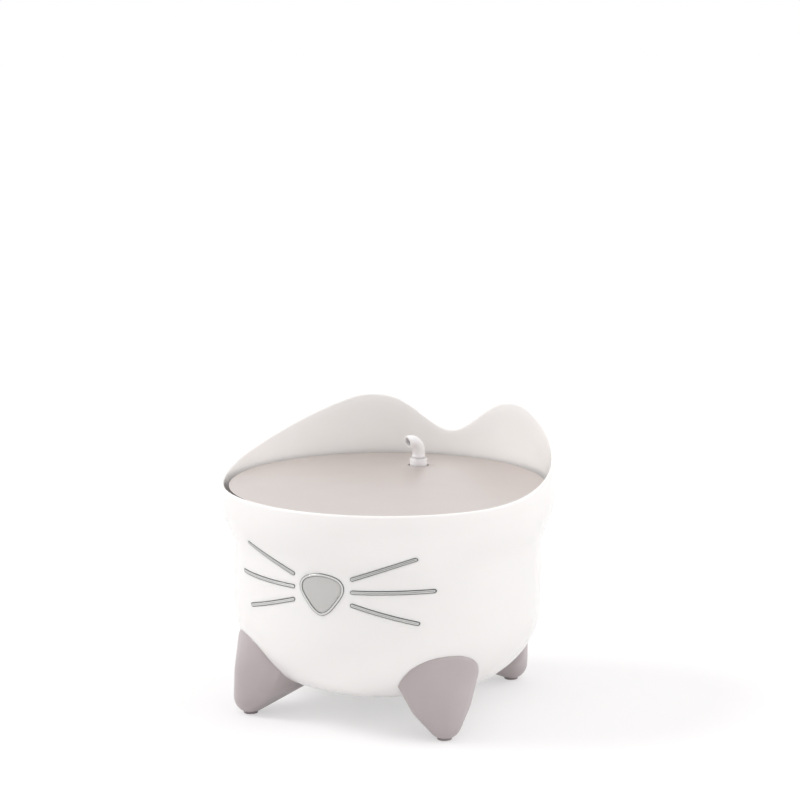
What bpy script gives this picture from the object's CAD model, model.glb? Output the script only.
"""A pet water fountain: bowl with ears and a whiskered face, pump, tray, filter, steel top, spout and cord.

Every size is in millimetres until a mesh is made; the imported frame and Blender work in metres.
"""

import logging
import math
from dataclasses import dataclass, field
from enum import Enum
from typing import Callable, Iterable, Sequence

import bmesh
import bpy
import numpy as np
from mathutils import Matrix, Vector


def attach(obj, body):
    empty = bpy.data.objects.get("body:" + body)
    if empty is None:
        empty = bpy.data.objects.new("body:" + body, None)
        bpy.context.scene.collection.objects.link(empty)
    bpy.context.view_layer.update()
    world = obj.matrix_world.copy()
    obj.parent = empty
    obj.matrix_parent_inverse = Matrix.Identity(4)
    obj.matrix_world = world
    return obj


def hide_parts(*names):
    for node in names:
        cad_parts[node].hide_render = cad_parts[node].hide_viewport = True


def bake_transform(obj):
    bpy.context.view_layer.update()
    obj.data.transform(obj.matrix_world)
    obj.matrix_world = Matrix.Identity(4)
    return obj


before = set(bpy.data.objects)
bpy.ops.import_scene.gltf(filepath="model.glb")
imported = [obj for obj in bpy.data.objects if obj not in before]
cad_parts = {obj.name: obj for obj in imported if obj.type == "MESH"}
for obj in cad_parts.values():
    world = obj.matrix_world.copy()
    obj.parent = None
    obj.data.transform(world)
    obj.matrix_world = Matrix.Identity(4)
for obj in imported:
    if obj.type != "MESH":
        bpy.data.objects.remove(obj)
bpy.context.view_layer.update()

LOG = logging.getLogger("fountain")
MM = 0.001
TINY = 1e-6
Object, Tree, Socket = bpy.types.Object, bpy.types.NodeTree, bpy.types.NodeSocket
Row = np.ndarray
Value = np.ndarray | float
Flat = tuple[float, float]
Corner = tuple[float, float, float]
Field = Callable[[Row, Row], Row]


# --- Shapes -------------------------------------------------------------------------------------


class Carve(Enum):
    """How one closed shell works on another."""

    CUT = "DIFFERENCE"
    JOIN = "UNION"
    KEEP = "INTERSECT"


def ease(u: Value) -> Value:
    """Goes from 0 to 1 with level ends, and stays level outside them."""
    return (1 - np.cos(np.pi * np.clip(u, 0, 1))) / 2


def soft_min(a: Row, b: Row, blend: float) -> Row:
    """The lower of two fields, their crossing rounded over the blend width."""
    h = np.clip(0.5 + 0.5 * (b - a) / blend, 0, 1)
    return b + (a - b) * h - blend * h * (1 - h)


def rounded_square(x: Row, y: Row, half: float, corner: float) -> Row:
    """Distance from a square with round corners, negative inside."""
    dx, dy = np.abs(x) - half + corner, np.abs(y) - half + corner
    return np.hypot(np.maximum(dx, 0), np.maximum(dy, 0)) + np.minimum(np.maximum(dx, dy), 0) - corner


def around(sides: int) -> Row:
    """The angles of points spaced evenly round a circle."""
    return np.arange(sides) * 2 * np.pi / sides


def spin(degrees: float, axis: str = "Z") -> Matrix:
    """A turn round an axis."""
    return Matrix.Rotation(math.radians(degrees), 4, axis)


def reach(inside: Field, sides: int, centre: Flat = (0, 0)) -> Row:
    """How far a plan goes from a centre in each direction.

    Args:
        inside: tells of points whether they are in the plan.
        sides: the number of directions.
        centre: the centre, which is in the plan.

    Returns:
        The distance in each direction.
    """
    beyond, halvings = 220.0, 44
    a = around(sides)
    low, high = np.zeros(sides), np.full(sides, beyond)
    for _ in range(halvings):
        mid = (low + high) / 2
        hit = inside(centre[0] + mid * np.cos(a), centre[1] + mid * np.sin(a))
        low, high = np.where(hit, mid, low), np.where(hit, high, mid)
    return low


def filleted(corners: Sequence[Corner], closed: bool = True, steps: int = 5) -> list[Flat]:
    """Turns corners with fillet radii into an outline with round corners.

    Args:
        corners: (across, up, radius) of each corner.
        closed: whether the last corner joins the first; the ends of an open line stay sharp.
        steps: how many edges each fillet has.

    Returns:
        The outline's points.
    """
    almost_straight, most_of_side = math.radians(89), 0.49
    line: list[Flat] = []
    count = len(corners)
    for i, (x, y, radius) in enumerate(corners):
        here = Vector((x, y))
        before = Vector(corners[i - 1][:2]) - here
        after = Vector(corners[(i + 1) % count][:2]) - here
        at_end = not closed and i in (0, count - 1)
        sharp = radius <= 0 or at_end or before.length < TINY or after.length < TINY
        half = 0.0 if sharp else before.angle(after) / 2
        if sharp or half > almost_straight:
            line.append((x, y))
            continue
        back = min(radius / math.tan(half), most_of_side * before.length, most_of_side * after.length)
        round_r = back * math.tan(half)
        middle = here + (before.normalized() + after.normalized()).normalized() * (round_r / math.sin(half))
        start = here + before.normalized() * back - middle
        turn = start.angle_signed(here + after.normalized() * back - middle)
        for k in range(steps + 1):
            c, s = math.cos(-turn * k / steps), math.sin(-turn * k / steps)
            line.append(tuple(middle + Vector((start.x * c - start.y * s, start.x * s + start.y * c))))
    return line


def ring(radius: Value, z: Value, sides: int, centre: Flat = (0, 0)) -> Row:
    """A ring of points whose radius and height may change round it, or one point where the radius is 0."""
    if np.ndim(radius) == 0 and radius < TINY:
        return np.array([[centre[0], centre[1], z]])
    a = around(sides)
    x, y = centre[0] + radius * np.cos(a), centre[1] + radius * np.sin(a)
    return np.column_stack([x, y, np.broadcast_to(z, a.shape)])


def smooth_path(points: Sequence[Sequence[float]], per_span: int) -> Row:
    """A Catmull-Rom line through the points, each span in the same number of steps."""
    p = np.array(points, float)
    p = np.vstack([2 * p[0] - p[1], p, 2 * p[-1] - p[-2]])
    out = [p[1]]
    for i in range(1, len(p) - 2):
        a, b, c, d = p[i - 1 : i + 3]
        for k in range(1, per_span + 1):
            t = k / per_span
            bend = (2 * a - 5 * b + 4 * c - d) * t**2 + (3 * b - a - 3 * c + d) * t**3
            out.append(0.5 * (2 * b + (c - a) * t + bend))
    return np.array(out)


def placed(points: Row, matrix: Matrix) -> Row:
    """Points moved by a matrix."""
    m = np.array(matrix)
    return points @ m[:3, :3].T + m[:3, 3]


def drum(radius: float, low: float, high: float, soft: float = 0.0) -> list[Corner]:
    """The corners of a plain cylinder between two heights, its upper edge rounded."""
    return [(0, low, 0), (radius, low, 0), (radius, high, soft), (0, high, 0)]


class Shell:
    """A surface that is being built from rows of points, in millimetres."""

    def __init__(self) -> None:
        """Starts with nothing."""
        self.points: list[Row] = []
        self.faces: list[tuple[int, ...]] = []
        self.count = 0

    def add(self, points: Row) -> range:
        """Adds points and gives their indices."""
        start = self.count
        self.points.append(np.asarray(points, float))
        self.count += len(points)
        return range(start, self.count)

    def rows(self, rows: Sequence[Row], closed: bool = False, capped: bool = False) -> "Shell":
        """Joins rings of points with faces; a row of one point is a pole.

        Args:
            rows: the rows in order, each with the same number of points or only one.
            closed: whether the last row joins the first.
            capped: whether the first and the last row are closed with a face each.

        Returns:
            The shell itself.
        """
        marks = [self.add(r) for r in rows]
        pairs = list(zip(marks, marks[1:])) + ([(marks[-1], marks[0])] if closed else [])
        for a, b in pairs:
            n = max(len(a), len(b))
            for k in range(n):
                j = (k + 1) % n
                if len(a) == 1:
                    self.faces.append((a[0], b[j], b[k]))
                elif len(b) == 1:
                    self.faces.append((a[k], a[j], b[0]))
                else:
                    self.faces.append((a[k], a[j], b[j], b[k]))
        return self.cap(rows[0]).cap(rows[-1]) if capped else self

    def lathe(self, outline: Sequence[Flat], sides: int, at: Flat = (0, 0), closed: bool = False) -> "Shell":
        """Turns an outline of (radius, height) round an upright axis."""
        return self.rows([ring(r, z, sides, at) for r, z in outline], closed=closed)

    def cap(self, row: Row) -> "Shell":
        """Closes a ring of points with one face."""
        self.faces.append(tuple(self.add(row)))
        return self

    def moved(self, matrix: Matrix) -> "Shell":
        """Places all points by a matrix in millimetres."""
        self.points = [placed(p, matrix) for p in self.points]
        return self

    def build(self, name: str, angle: float = 35) -> Object:
        """Makes a Blender object with outward faces.

        Args:
            name: the object's name.
            angle: the bend in degrees above which an edge stays sharp.

        Returns:
            The object, linked to the scene.
        """
        mesh = bpy.data.meshes.new(name)
        mesh.from_pydata((np.vstack(self.points) * MM).tolist(), [], self.faces)
        mend(mesh)
        return shade(linked(name, mesh), angle)


def linked(name: str, data: bpy.types.ID) -> Object:
    """Makes an object and links it to the scene."""
    obj = bpy.data.objects.new(name, data)
    bpy.context.scene.collection.objects.link(obj)
    return obj


def mend(mesh: bpy.types.Mesh) -> None:
    """Merges doubles and turns all faces outwards."""
    double, flat = 1e-6, 1e-7
    bm = bmesh.new()
    bm.from_mesh(mesh)
    bmesh.ops.remove_doubles(bm, verts=bm.verts, dist=double)
    bmesh.ops.dissolve_degenerate(bm, edges=bm.edges, dist=flat)
    bmesh.ops.recalc_face_normals(bm, faces=bm.faces)
    bm.to_mesh(mesh)
    bm.free()


def shade(obj: Object, angle: float) -> Object:
    """Shades smoothly, apart from edges sharper than the angle in degrees."""
    obj.data.polygons.foreach_set("use_smooth", [True] * len(obj.data.polygons))
    obj.data.set_sharp_from_angle(angle=math.radians(angle))
    return obj


def settle(obj: Object) -> Object:
    """Turns the object and its modifiers into a plain mesh."""
    shaped = bpy.data.meshes.new_from_object(obj.evaluated_get(bpy.context.evaluated_depsgraph_get()))
    obj.modifiers.clear()
    obj.data = shaped
    return obj


def carve(obj: Object, tool: Object, how: Carve, angle: float = 35) -> Object:
    """Cuts, joins or intersects a shell with another, which is used up.

    Args:
        obj: the shell that is changed.
        tool: the shell that works on it.
        how: the way in which it works.
        angle: the bend in degrees above which an edge stays sharp.

    Returns:
        The changed object.
    """
    mod = obj.modifiers.new("carve", "BOOLEAN")
    mod.object, mod.operation, mod.solver = tool, how.value, "EXACT"
    settle(obj)
    bpy.data.objects.remove(tool)
    return shade(obj, angle)


def join(name: str, parts: Sequence[Object], angle: float) -> Object:
    """Makes one object of several, with the first one's finish, and shades it."""
    bm = bmesh.new()
    for part in parts:
        bm.from_mesh(part.data)
    bm.to_mesh(parts[0].data)
    bm.free()
    for part in parts[1:]:
        bpy.data.objects.remove(part)
    parts[0].name = name
    return shade(parts[0], angle)


def turned(
    name: str,
    corners: Sequence[Corner],
    sides: int,
    centre: Flat = (0, 0),
    lift: float = 0.0,
    closed: bool = False,
    steps: int = 5,
    angle: float = 35,
    place: Matrix | None = None,
) -> Object:
    """Turns a piece from corners with fillet radii.

    Args:
        name: the object's name.
        corners: (radius, height, fillet) of each corner.
        sides: how many sides the piece has.
        centre: where its axis stands.
        lift: how much higher it stands than its corners say.
        closed: whether the outline is a ring in section, and not a line from axis to axis.
        steps: how many edges each fillet has.
        angle: the bend in degrees above which an edge stays sharp.
        place: where the piece is set after it is turned.

    Returns:
        The piece.
    """
    outline = [(r, lift + z) for r, z in filleted(corners, closed, steps)]
    shell = Shell().lathe(outline, sides, centre, closed)
    return (shell if place is None else shell.moved(place)).build(name, angle)


def soft_block(
    name: str,
    outline: Callable[[float, float], Row],
    ends: Flat,
    soft: Flat,
    degrees: Sequence[float],
    angle: float = 35,
) -> Object:
    """A block between two ends, each rounded by its own radius.

    Args:
        name: the object's name.
        outline: gives the cross-section for an inset and a place along the block.
        ends: where the block starts and ends.
        soft: the radius of each end.
        degrees: the steps of the rounding.
        angle: the bend in degrees above which an edge stays sharp.

    Returns:
        The block as an object.
    """
    turns = np.radians(degrees)
    rows = [outline(soft[0] * (1 - math.sin(t)), ends[0] + soft[0] * (1 - math.cos(t))) for t in turns]
    rows += [outline(soft[1] * (1 - math.cos(t)), ends[1] - soft[1] * (1 - math.sin(t))) for t in turns]
    return Shell().rows(rows, capped=True).build(name, angle)


def rounded_box(name: str, low: Corner, high: Corner, upright: float, level: float) -> Object:
    """A box with round upright edges and softer level ones.

    Args:
        name: the object's name.
        low: its lowest corner.
        high: its highest corner.
        upright: the radius of its upright edges.
        level: the radius of the edges round its top and bottom.

    Returns:
        The box as an object.
    """
    (x0, y0, z0), (x1, y1, z1) = low, high

    def outline(inset: float, z: float) -> Row:
        """The plan drawn in by an inset."""
        xs, ys = (x0 + inset, x1 - inset), (y0 + inset, y1 - inset)
        least = max(upright - inset, 0.05)
        plan = filleted([(xs[i], ys[j], least) for i, j in ((0, 0), (1, 0), (1, 1), (0, 1))], steps=6)
        return np.array([(x, y, z) for x, y in plan])

    return soft_block(name, outline, (z0, z1), (level, level), (0, 22.5, 45, 67.5, 90))


# --- Finishes -----------------------------------------------------------------------------------


def colour(code: str) -> tuple[float, float, float, float]:
    """Turns an sRGB hex code into a linear colour."""
    parts = [int(code[i : i + 2], 16) / 255 for i in (1, 3, 5)]
    return (*[c / 12.92 if c <= 0.04045 else ((c + 0.055) / 1.055) ** 2.4 for c in parts], 1.0)


def feed(tree: Tree, made: bpy.types.Node, inputs: dict[str | int, object]) -> None:
    """Fills a node's named or numbered inputs with values or other nodes' outputs."""
    for key, value in inputs.items():
        if isinstance(value, Socket):
            tree.links.new(value, made.inputs[key])
        else:
            made.inputs[key].default_value = value


def node(
    tree: Tree, kind: str, inputs: dict[str | int, object] | None = None, **settings: object
) -> bpy.types.Node:
    """Adds a node, sets it up and fills its inputs.

    Args:
        tree: the tree that gets the node.
        kind: Blender's name for the node.
        inputs: a value or another node's output for each named or numbered input.
        settings: the node's own properties.

    Returns:
        The new node.
    """
    made = tree.nodes.new(kind)
    for key, value in settings.items():
        setattr(made, key, value)
    feed(tree, made, inputs or {})
    return made


def mix(tree: Tree, share: object, first: object, second: object) -> Socket:
    """Two colours mixed by a share."""
    inputs = {"Factor": share, "A": first, "B": second}
    return node(tree, "ShaderNodeMix", inputs, data_type="RGBA").outputs["Result"]


def maths(tree: Tree, operation: str, a: object, b: object, clamp: bool = False) -> Socket:
    """One sum of two values."""
    return node(tree, "ShaderNodeMath", {0: a, 1: b}, operation=operation, use_clamp=clamp).outputs[0]


def noise(
    tree: Tree, place: object, scale: float, detail: float, rough: float = 0.5, distortion: float = 0.0
) -> Socket:
    """A cloudy pattern from 0 to 1."""
    inputs = {"Vector": place, "Scale": scale, "Detail": detail}
    inputs |= {"Roughness": rough, "Distortion": distortion}
    return node(tree, "ShaderNodeTexNoise", inputs).outputs["Fac"]


class Surface(Enum):
    """What the eye sees on a surface from close by."""

    MOULDED = "fine spark-eroded mould grain"
    POLISHED = "polished mould, with only a trace of flow"
    SATIN = "fine rolled lines along one direction"
    FELT = "loose fibres pressed into a fleece"
    GRANULES = "granules that press through a thin fleece"


@dataclass(frozen=True)
class Finish:
    """One real material and how its surface was made; grain, relief, cloud and milk depth in millimetres."""

    name: str
    base: str
    shade: str
    roughness: float
    surface: Surface = Surface.MOULDED
    grain: float = 0.25
    relief: float = 0.012
    cloud: float = 40.0
    spread: float = 0.06
    ior: float = 1.5
    metallic: float = 0.0
    clear: float = 0.0
    glow: float = 0.0
    coat: float = 0.0
    coat_roughness: float = 0.08
    sheen: float = 0.0
    milk: float = 0.0
    milk_depth: float = 4.0
    milk_tint: Corner = (1.0, 0.95, 0.9)
    far_side: str = ""
    far_side_seam: float = 3.0

    def grain_factor(self, tree: Tree, place: Socket) -> Socket:
        """The pattern of the surface, from 0 to 1."""
        per_metre = 1 / (self.grain * MM)
        if self.surface is Surface.SATIN:
            lines = node(tree, "ShaderNodeMapping", {"Vector": place, "Scale": (0.02, 1.0, 0.3)})
            return noise(tree, lines.outputs[0], per_metre, 4.0, 0.6)
        if self.surface is Surface.FELT:
            pull = {"Vector": place, "Scale": (1.0, 0.35, 1.0), "Rotation": (0.3, 0.2, 0.9)}
            return noise(tree, node(tree, "ShaderNodeMapping", pull).outputs[0], per_metre, 6.0, 0.7, 1.6)
        if self.surface is Surface.GRANULES:
            cells = {"Vector": place, "Scale": per_metre, "Randomness": 1.0}
            beads = node(tree, "ShaderNodeTexVoronoi", cells, feature="SMOOTH_F1")
            return maths(tree, "MULTIPLY", beads.outputs["Distance"], 1.1, clamp=True)
        return noise(tree, place, per_metre, 3.0, 0.55)

    def painted(self, tree: Tree, place: Socket, clouds: Socket, grain: Socket) -> Socket:
        """The colour: two near shades in clouds, and whatever shows through or changes side."""
        base, shade_colour = colour(self.base), colour(self.shade)
        painted = mix(tree, clouds, base, shade_colour)
        if self.surface in (Surface.FELT, Surface.GRANULES):
            span = {"Value": grain, "From Min": 0.25, "From Max": 0.75, "To Min": 0.0, "To Max": 0.75}
            painted = mix(tree, node(tree, "ShaderNodeMapRange", span).outputs[0], painted, shade_colour)
        if self.far_side:
            across = node(tree, "ShaderNodeSeparateXYZ", {"Vector": place}).outputs["X"]
            seam = self.far_side_seam * MM
            span = {"Value": across, "From Min": -seam, "From Max": seam}
            side = node(tree, "ShaderNodeMapRange", span, interpolation_type="SMOOTHSTEP").outputs[0]
            painted = mix(tree, side, painted, mix(tree, grain, base, colour(self.far_side)))
        return painted

    def make(self) -> bpy.types.Material:
        """Builds the material's nodes.

        Returns:
            The material, made once for each name.
        """
        known = bpy.data.materials.get(self.name)
        if known:
            return known
        material = bpy.data.materials.new(self.name)
        material.use_nodes = True
        tree = material.node_tree
        place = node(tree, "ShaderNodeTexCoord").outputs["Object"]
        clouds = noise(tree, place, 1 / (self.cloud * MM), 3.0)
        grain = self.grain_factor(tree, place)
        low, high = max(self.roughness - self.spread, 0.02), self.roughness + self.spread
        wander = node(tree, "ShaderNodeMapRange", {"Value": clouds, "To Min": low, "To Max": high})
        bump = node(tree, "ShaderNodeBump", {"Height": grain, "Distance": self.relief * MM, "Strength": 1.0})
        values = {
            "Base Color": self.painted(tree, place, clouds, grain),
            "Roughness": wander.outputs[0],
            "Normal": bump.outputs[0],
            "Metallic": self.metallic,
            "Transmission Weight": self.clear,
            "Coat Weight": self.coat,
            "Coat Roughness": self.coat_roughness,
            "Sheen Weight": self.sheen,
            "Subsurface Weight": self.milk,
            "Subsurface Scale": self.milk_depth * MM,
            "Subsurface Radius": self.milk_tint,
        }
        if not self.metallic:
            values["IOR"] = self.ior
        if self.glow:
            values |= {"Emission Color": colour(self.base), "Emission Strength": self.glow}
        feed(tree, tree.nodes["Principled BSDF"], values)
        return material

    def on_node(self, name: str) -> None:
        """Gives a CAD node this finish and leaves its mesh as it is."""
        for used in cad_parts[name].material_slots:
            used.material = self.make()


# Gloss ABS for food use: a warm white with a clear, soft highlight
BOWL_WHITE = Finish(
    "abs_gloss_warm_white", "#f9f7f5", "#f5f3f1", 0.16, Surface.POLISHED, 6.0, 0.02, spread=0.03, milk=0.4
)
# The same plastic in the tray: neutral and a little more satin
TRAY_WHITE = Finish("abs_satin_white", "#f5f4f4", "#efeeef", 0.34, grain=0.3, relief=0.006)
# Pump casing: ABS with a faint mauve cast and a matt mould grain
PUMP_WHITE = Finish("abs_matt_pump_white", "#f2eff0", "#e9e5e8", 0.42, grain=0.35, relief=0.012, cloud=18)
# Feet: soft-touch polypropylene in a mauve grey, with a broad, dull highlight
FOOT_MAUVE = Finish(
    "polypropylene_satin_mauve_grey", "#bdb3b4", "#aea4a6", 0.36, grain=0.3, relief=0.008, cloud=22, coat=0.15
)
# Trim: plastic with a bright vacuum-plated film, silvery and smooth
TRIM_CHROME = Finish(
    "plated_trim_silver", "#d9d8d6", "#c4c4c2", 0.16, Surface.POLISHED, 3.0, 0.01, spread=0.03, metallic=1.0
)
# Its edges: the same film worn to the dark grey base under it
TRIM_EDGE = Finish(
    "plated_trim_dark_edge", "#6c706f", "#545857", 0.3, Surface.POLISHED, 2.0, 0.01, spread=0.03, metallic=0.6
)
# Whisker bead: clear polycarbonate over the silvery film
TRIM_CLEAR = Finish(
    "polycarbonate_clear_bead", "#eceeec", "#dfe1df", 0.1, Surface.POLISHED, 5.0, 0.01,
    spread=0.02, ior=1.58, clear=0.25,
)  # fmt: skip
# Window: clear acrylic with a light smoke tint
WINDOW_CLEAR = Finish(
    "acrylic_clear_smoke", "#e9e9e6", "#e2e1df", 0.07, Surface.POLISHED, 8.0, 0.01,
    spread=0.02, ior=1.49, clear=0.35,
)  # fmt: skip
# Steel top: rolled 304 stainless sheet with a warm satin finish
STEEL_SATIN = Finish(
    "stainless_304_satin_top", "#dcd4d0", "#d3cac6", 0.38, Surface.SATIN, 0.4, 0.004, 60, 0.04, metallic=1.0
)
# Its drawn skirt is burnished by the press tool, so it is darker and smoother
STEEL_DRAWN = Finish(
    "stainless_304_drawn_skirt", "#8f8584", "#6f6665", 0.24, Surface.SATIN, 0.5, 0.004, 30, 0.06, metallic=1.0
)
# Riser tube: milky silicone
TUBE_SILICONE = Finish(
    "silicone_milky_clear", "#fdf9f2", "#f9f4ec", 0.3, Surface.POLISHED, 5.0, 0.02,
    ior=1.41, clear=0.1, milk=0.5,
)  # fmt: skip
# Spout sleeve: soft white silicone
SLEEVE_SILICONE = Finish("silicone_soft_white", "#ecebea", "#e4e3e2", 0.45, grain=0.3, relief=0.006, ior=1.41)
# Filter flange: hot-pressed polyester, almost white
FLANGE_WHITE = Finish(
    "polyester_pressed_white", "#eef0ed", "#e2e6e2", 0.75, Surface.FELT, 0.9, 0.05, cloud=12, sheen=0.2
)
# Top fleece: loose polyester, grey-green over the carbon and peach over the resin
FLEECE_TOP = Finish(
    "polyester_fleece_top", "#e6ebe7", "#c3cbc6", 0.85, Surface.FELT, 1.1, 0.18,
    cloud=9, sheen=0.3, far_side="#ecd3bf",
)  # fmt: skip
# Carbon pockets: grey activated-carbon granules seen through thin fleece
CARBON_FLEECE = Finish(
    "fleece_over_carbon", "#c3c5c2", "#989b99", 0.8, Surface.GRANULES, 1.3, 0.16, cloud=7, sheen=0.2
)
# Resin pockets: amber softening-resin beads seen through thin fleece
RESIN_FLEECE = Finish(
    "fleece_over_resin", "#f3e2d3", "#e9c5a6", 0.75, Surface.GRANULES, 1.2, 0.12, cloud=11, sheen=0.2
)
# Lamp: clear red acrylic lens over a lit diode
LAMP_RED = Finish(
    "acrylic_red_lens", "#c9283c", "#a81c30", 0.15, Surface.POLISHED, 2.0, 0.01, clear=0.3, glow=0.6
)
# Cord: white PVC jacket with a slight cling
CORD_WHITE = Finish("pvc_jacket_white", "#e9e7e8", "#dfdcde", 0.42, grain=0.4, relief=0.01, cloud=15)
# Pads: grey thermoplastic rubber, quite matt
PAD_RUBBER = Finish("rubber_grey_pad", "#aca2a4", "#9f9698", 0.7, grain=0.35, relief=0.02, cloud=6)
# Grommet and seal: pale silicone rubber
SEAL_RUBBER = Finish("silicone_rubber_pale", "#d9d7d6", "#cbc9c8", 0.55, grain=0.3, relief=0.01, ior=1.41)
# Screws, shaft and plug shell: plain stainless and nickelled steel
STEEL_PLAIN = Finish("stainless_plain", "#c9c8c6", "#b3b2b0", 0.25, Surface.SATIN, 0.3, 0.003, metallic=1.0)
# Rotor: black nylon over a ferrite magnet
ROTOR_BLACK = Finish("nylon_black_rotor", "#2f3033", "#242528", 0.45, grain=0.3, relief=0.01, cloud=8)


def coat(obj: Object, *finishes: Finish) -> None:
    """Gives an object its finishes, one for each material slot of its faces."""
    obj.data.materials.clear()
    for finish in finishes:
        obj.data.materials.append(finish.make())


def dress(
    obj: Object, body: str, cad: str | Sequence[str], slot: str, finish: Finish | None = None
) -> Object:
    """Sets a piece on its body in place of its CAD nodes.

    Args:
        obj: the piece.
        body: the body that it rides on.
        cad: the node or nodes that it stands for.
        slot: the record's material slot.
        finish: its finish, where it has only one and hasn't got it yet.

    Returns:
        The piece.
    """
    if finish:
        coat(obj, finish)
    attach(obj, body)
    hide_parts(*([cad] if isinstance(cad, str) else cad))
    return obj


# --- Stage --------------------------------------------------------------------------------------


@dataclass(frozen=True)
class Lamp:
    """One distant soft lamp: where it stands, its light, and how wide it looks in degrees."""

    name: str
    toward: Corner
    strength: float
    spread: float


@dataclass
class Studio:
    """The camera, the pale floor and the soft light."""

    azimuth: float = 24.0
    distance: float = 1372.0
    height: float = 425.0
    pitch: float = 9.53
    yaw: float = 0.33
    focal: float = 99.1
    sensor: float = 36.0
    sight: float = 50000.0
    backdrop: str = "#ffffff"
    room: str = "#f6f4f4"
    room_low: float = 0.3
    room_high: float = 1.18
    paper: str = "#fbfafa"
    paper_roughness: float = 0.9
    floor_size: float = 40000.0
    floor_lift: float = 0.5
    lamps: tuple[Lamp, ...] = (
        Lamp("key", (-0.95, -0.35, 1.05), 1.1, 22),
        Lamp("fill", (1.2, 0.35, 0.85), 0.75, 60),
    )

    def aim(self) -> None:
        """Sets the camera where the object was seen from."""
        a, p, y = (math.radians(v) for v in (self.azimuth, self.pitch, self.yaw))
        look = Vector((-math.sin(a - y) * math.cos(p), math.cos(a - y) * math.cos(p), -math.sin(p)))
        data = bpy.data.cameras.new("view")
        data.lens, data.sensor_width, data.clip_end = self.focal, self.sensor, self.sight * MM
        camera = linked("view", data)
        stand = (self.distance * math.sin(a), -self.distance * math.cos(a), self.height)
        camera.location = Vector(stand) * MM
        camera.rotation_euler = look.to_track_quat("-Z", "Y").to_euler()
        bpy.context.scene.camera = camera
        bpy.context.scene.view_settings.view_transform = "Standard"

    def pale(self, tree: Tree) -> Socket:
        """A switch that is 1 for what the camera, gloss and glass see of the surroundings."""
        rays = node(tree, "ShaderNodeLightPath").outputs
        gloss = maths(tree, "MAXIMUM", rays["Is Camera Ray"], rays["Is Glossy Ray"])
        return maths(tree, "MAXIMUM", gloss, rays["Is Transmission Ray"])

    def surround(self) -> None:
        """Makes the surroundings: white where they are seen, and a light that rises towards the zenith."""
        world = bpy.data.worlds.new("studio")
        bpy.context.scene.world = world
        world.use_nodes = True
        tree = world.node_tree
        tree.nodes.clear()
        way = node(tree, "ShaderNodeTexCoord").outputs["Generated"]
        up = node(tree, "ShaderNodeSeparateXYZ", {"Vector": way}).outputs["Z"]
        span = {"Value": up, "To Min": self.room_low, "To Max": self.room_high}
        rising = node(tree, "ShaderNodeMapRange", span).outputs[0]
        room = node(tree, "ShaderNodeBackground", {"Color": colour(self.room), "Strength": rising})
        seen = node(tree, "ShaderNodeBackground", {"Color": colour(self.backdrop), "Strength": 1.0})
        both = {0: self.pale(tree), 1: room.outputs[0], 2: seen.outputs[0]}
        mixed = node(tree, "ShaderNodeMixShader", both)
        node(tree, "ShaderNodeOutputWorld", {"Surface": mixed.outputs[0]})

    def lay_floor(self) -> None:
        """Lays the floor: matt paper that takes a faint shadow and looks almost white."""
        plan = np.array([[-1, -1, 0], [1, -1, 0], [1, 1, 0], [-1, 1, 0]]) * self.floor_size / 2
        floor = Shell().cap(plan).build("floor")
        material = bpy.data.materials.new("paper_white_floor")
        material.use_nodes = True
        tree = material.node_tree
        paper = tree.nodes["Principled BSDF"]
        feed(tree, paper, {"Base Color": colour(self.paper), "Roughness": self.paper_roughness})
        feed(tree, paper, {"Specular IOR Level": 0.0})
        white = node(tree, "ShaderNodeEmission", {"Color": colour(self.backdrop), "Strength": 1.0})
        share = maths(tree, "MULTIPLY", self.pale(tree), self.floor_lift)
        lit = node(tree, "ShaderNodeMixShader", {0: share, 1: paper.outputs[0], 2: white.outputs[0]})
        feed(tree, tree.nodes["Material Output"], {"Surface": lit.outputs[0]})
        floor.data.materials.append(material)

    def light(self) -> None:
        """Makes the surroundings, the floor and the lamps."""
        self.surround()
        self.lay_floor()
        for lamp in self.lamps:
            data = bpy.data.lights.new(lamp.name, "SUN")
            data.energy, data.angle = lamp.strength, math.radians(lamp.spread)
            down = (-Vector(lamp.toward)).to_track_quat("-Z", "Y")
            linked(lamp.name, data).rotation_euler = down.to_euler()


# --- Cords --------------------------------------------------------------------------------------


def metres(point: Iterable[float]) -> list[float]:
    """A point in metres."""
    return [v * MM for v in point]


def tube_along(name: str, path: Row, radius: float, sides: int) -> Object:
    """A closed round tube along a path, its rings kept from twisting."""
    heads = np.gradient(path, axis=0)
    heads /= np.linalg.norm(heads, axis=1)[:, None]
    side = np.cross(heads[0], (0.0, 0.0, 1.0))
    a = around(sides)[:, None]
    rows = []
    for point, head in zip(path, heads):
        side = side - head * side.dot(head)
        side /= np.linalg.norm(side)
        rows.append(point + radius * (np.cos(a) * side + np.sin(a) * np.cross(head, side)))
    return Shell().rows([path[:1], *rows, path[-1:]]).build(name)


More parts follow.
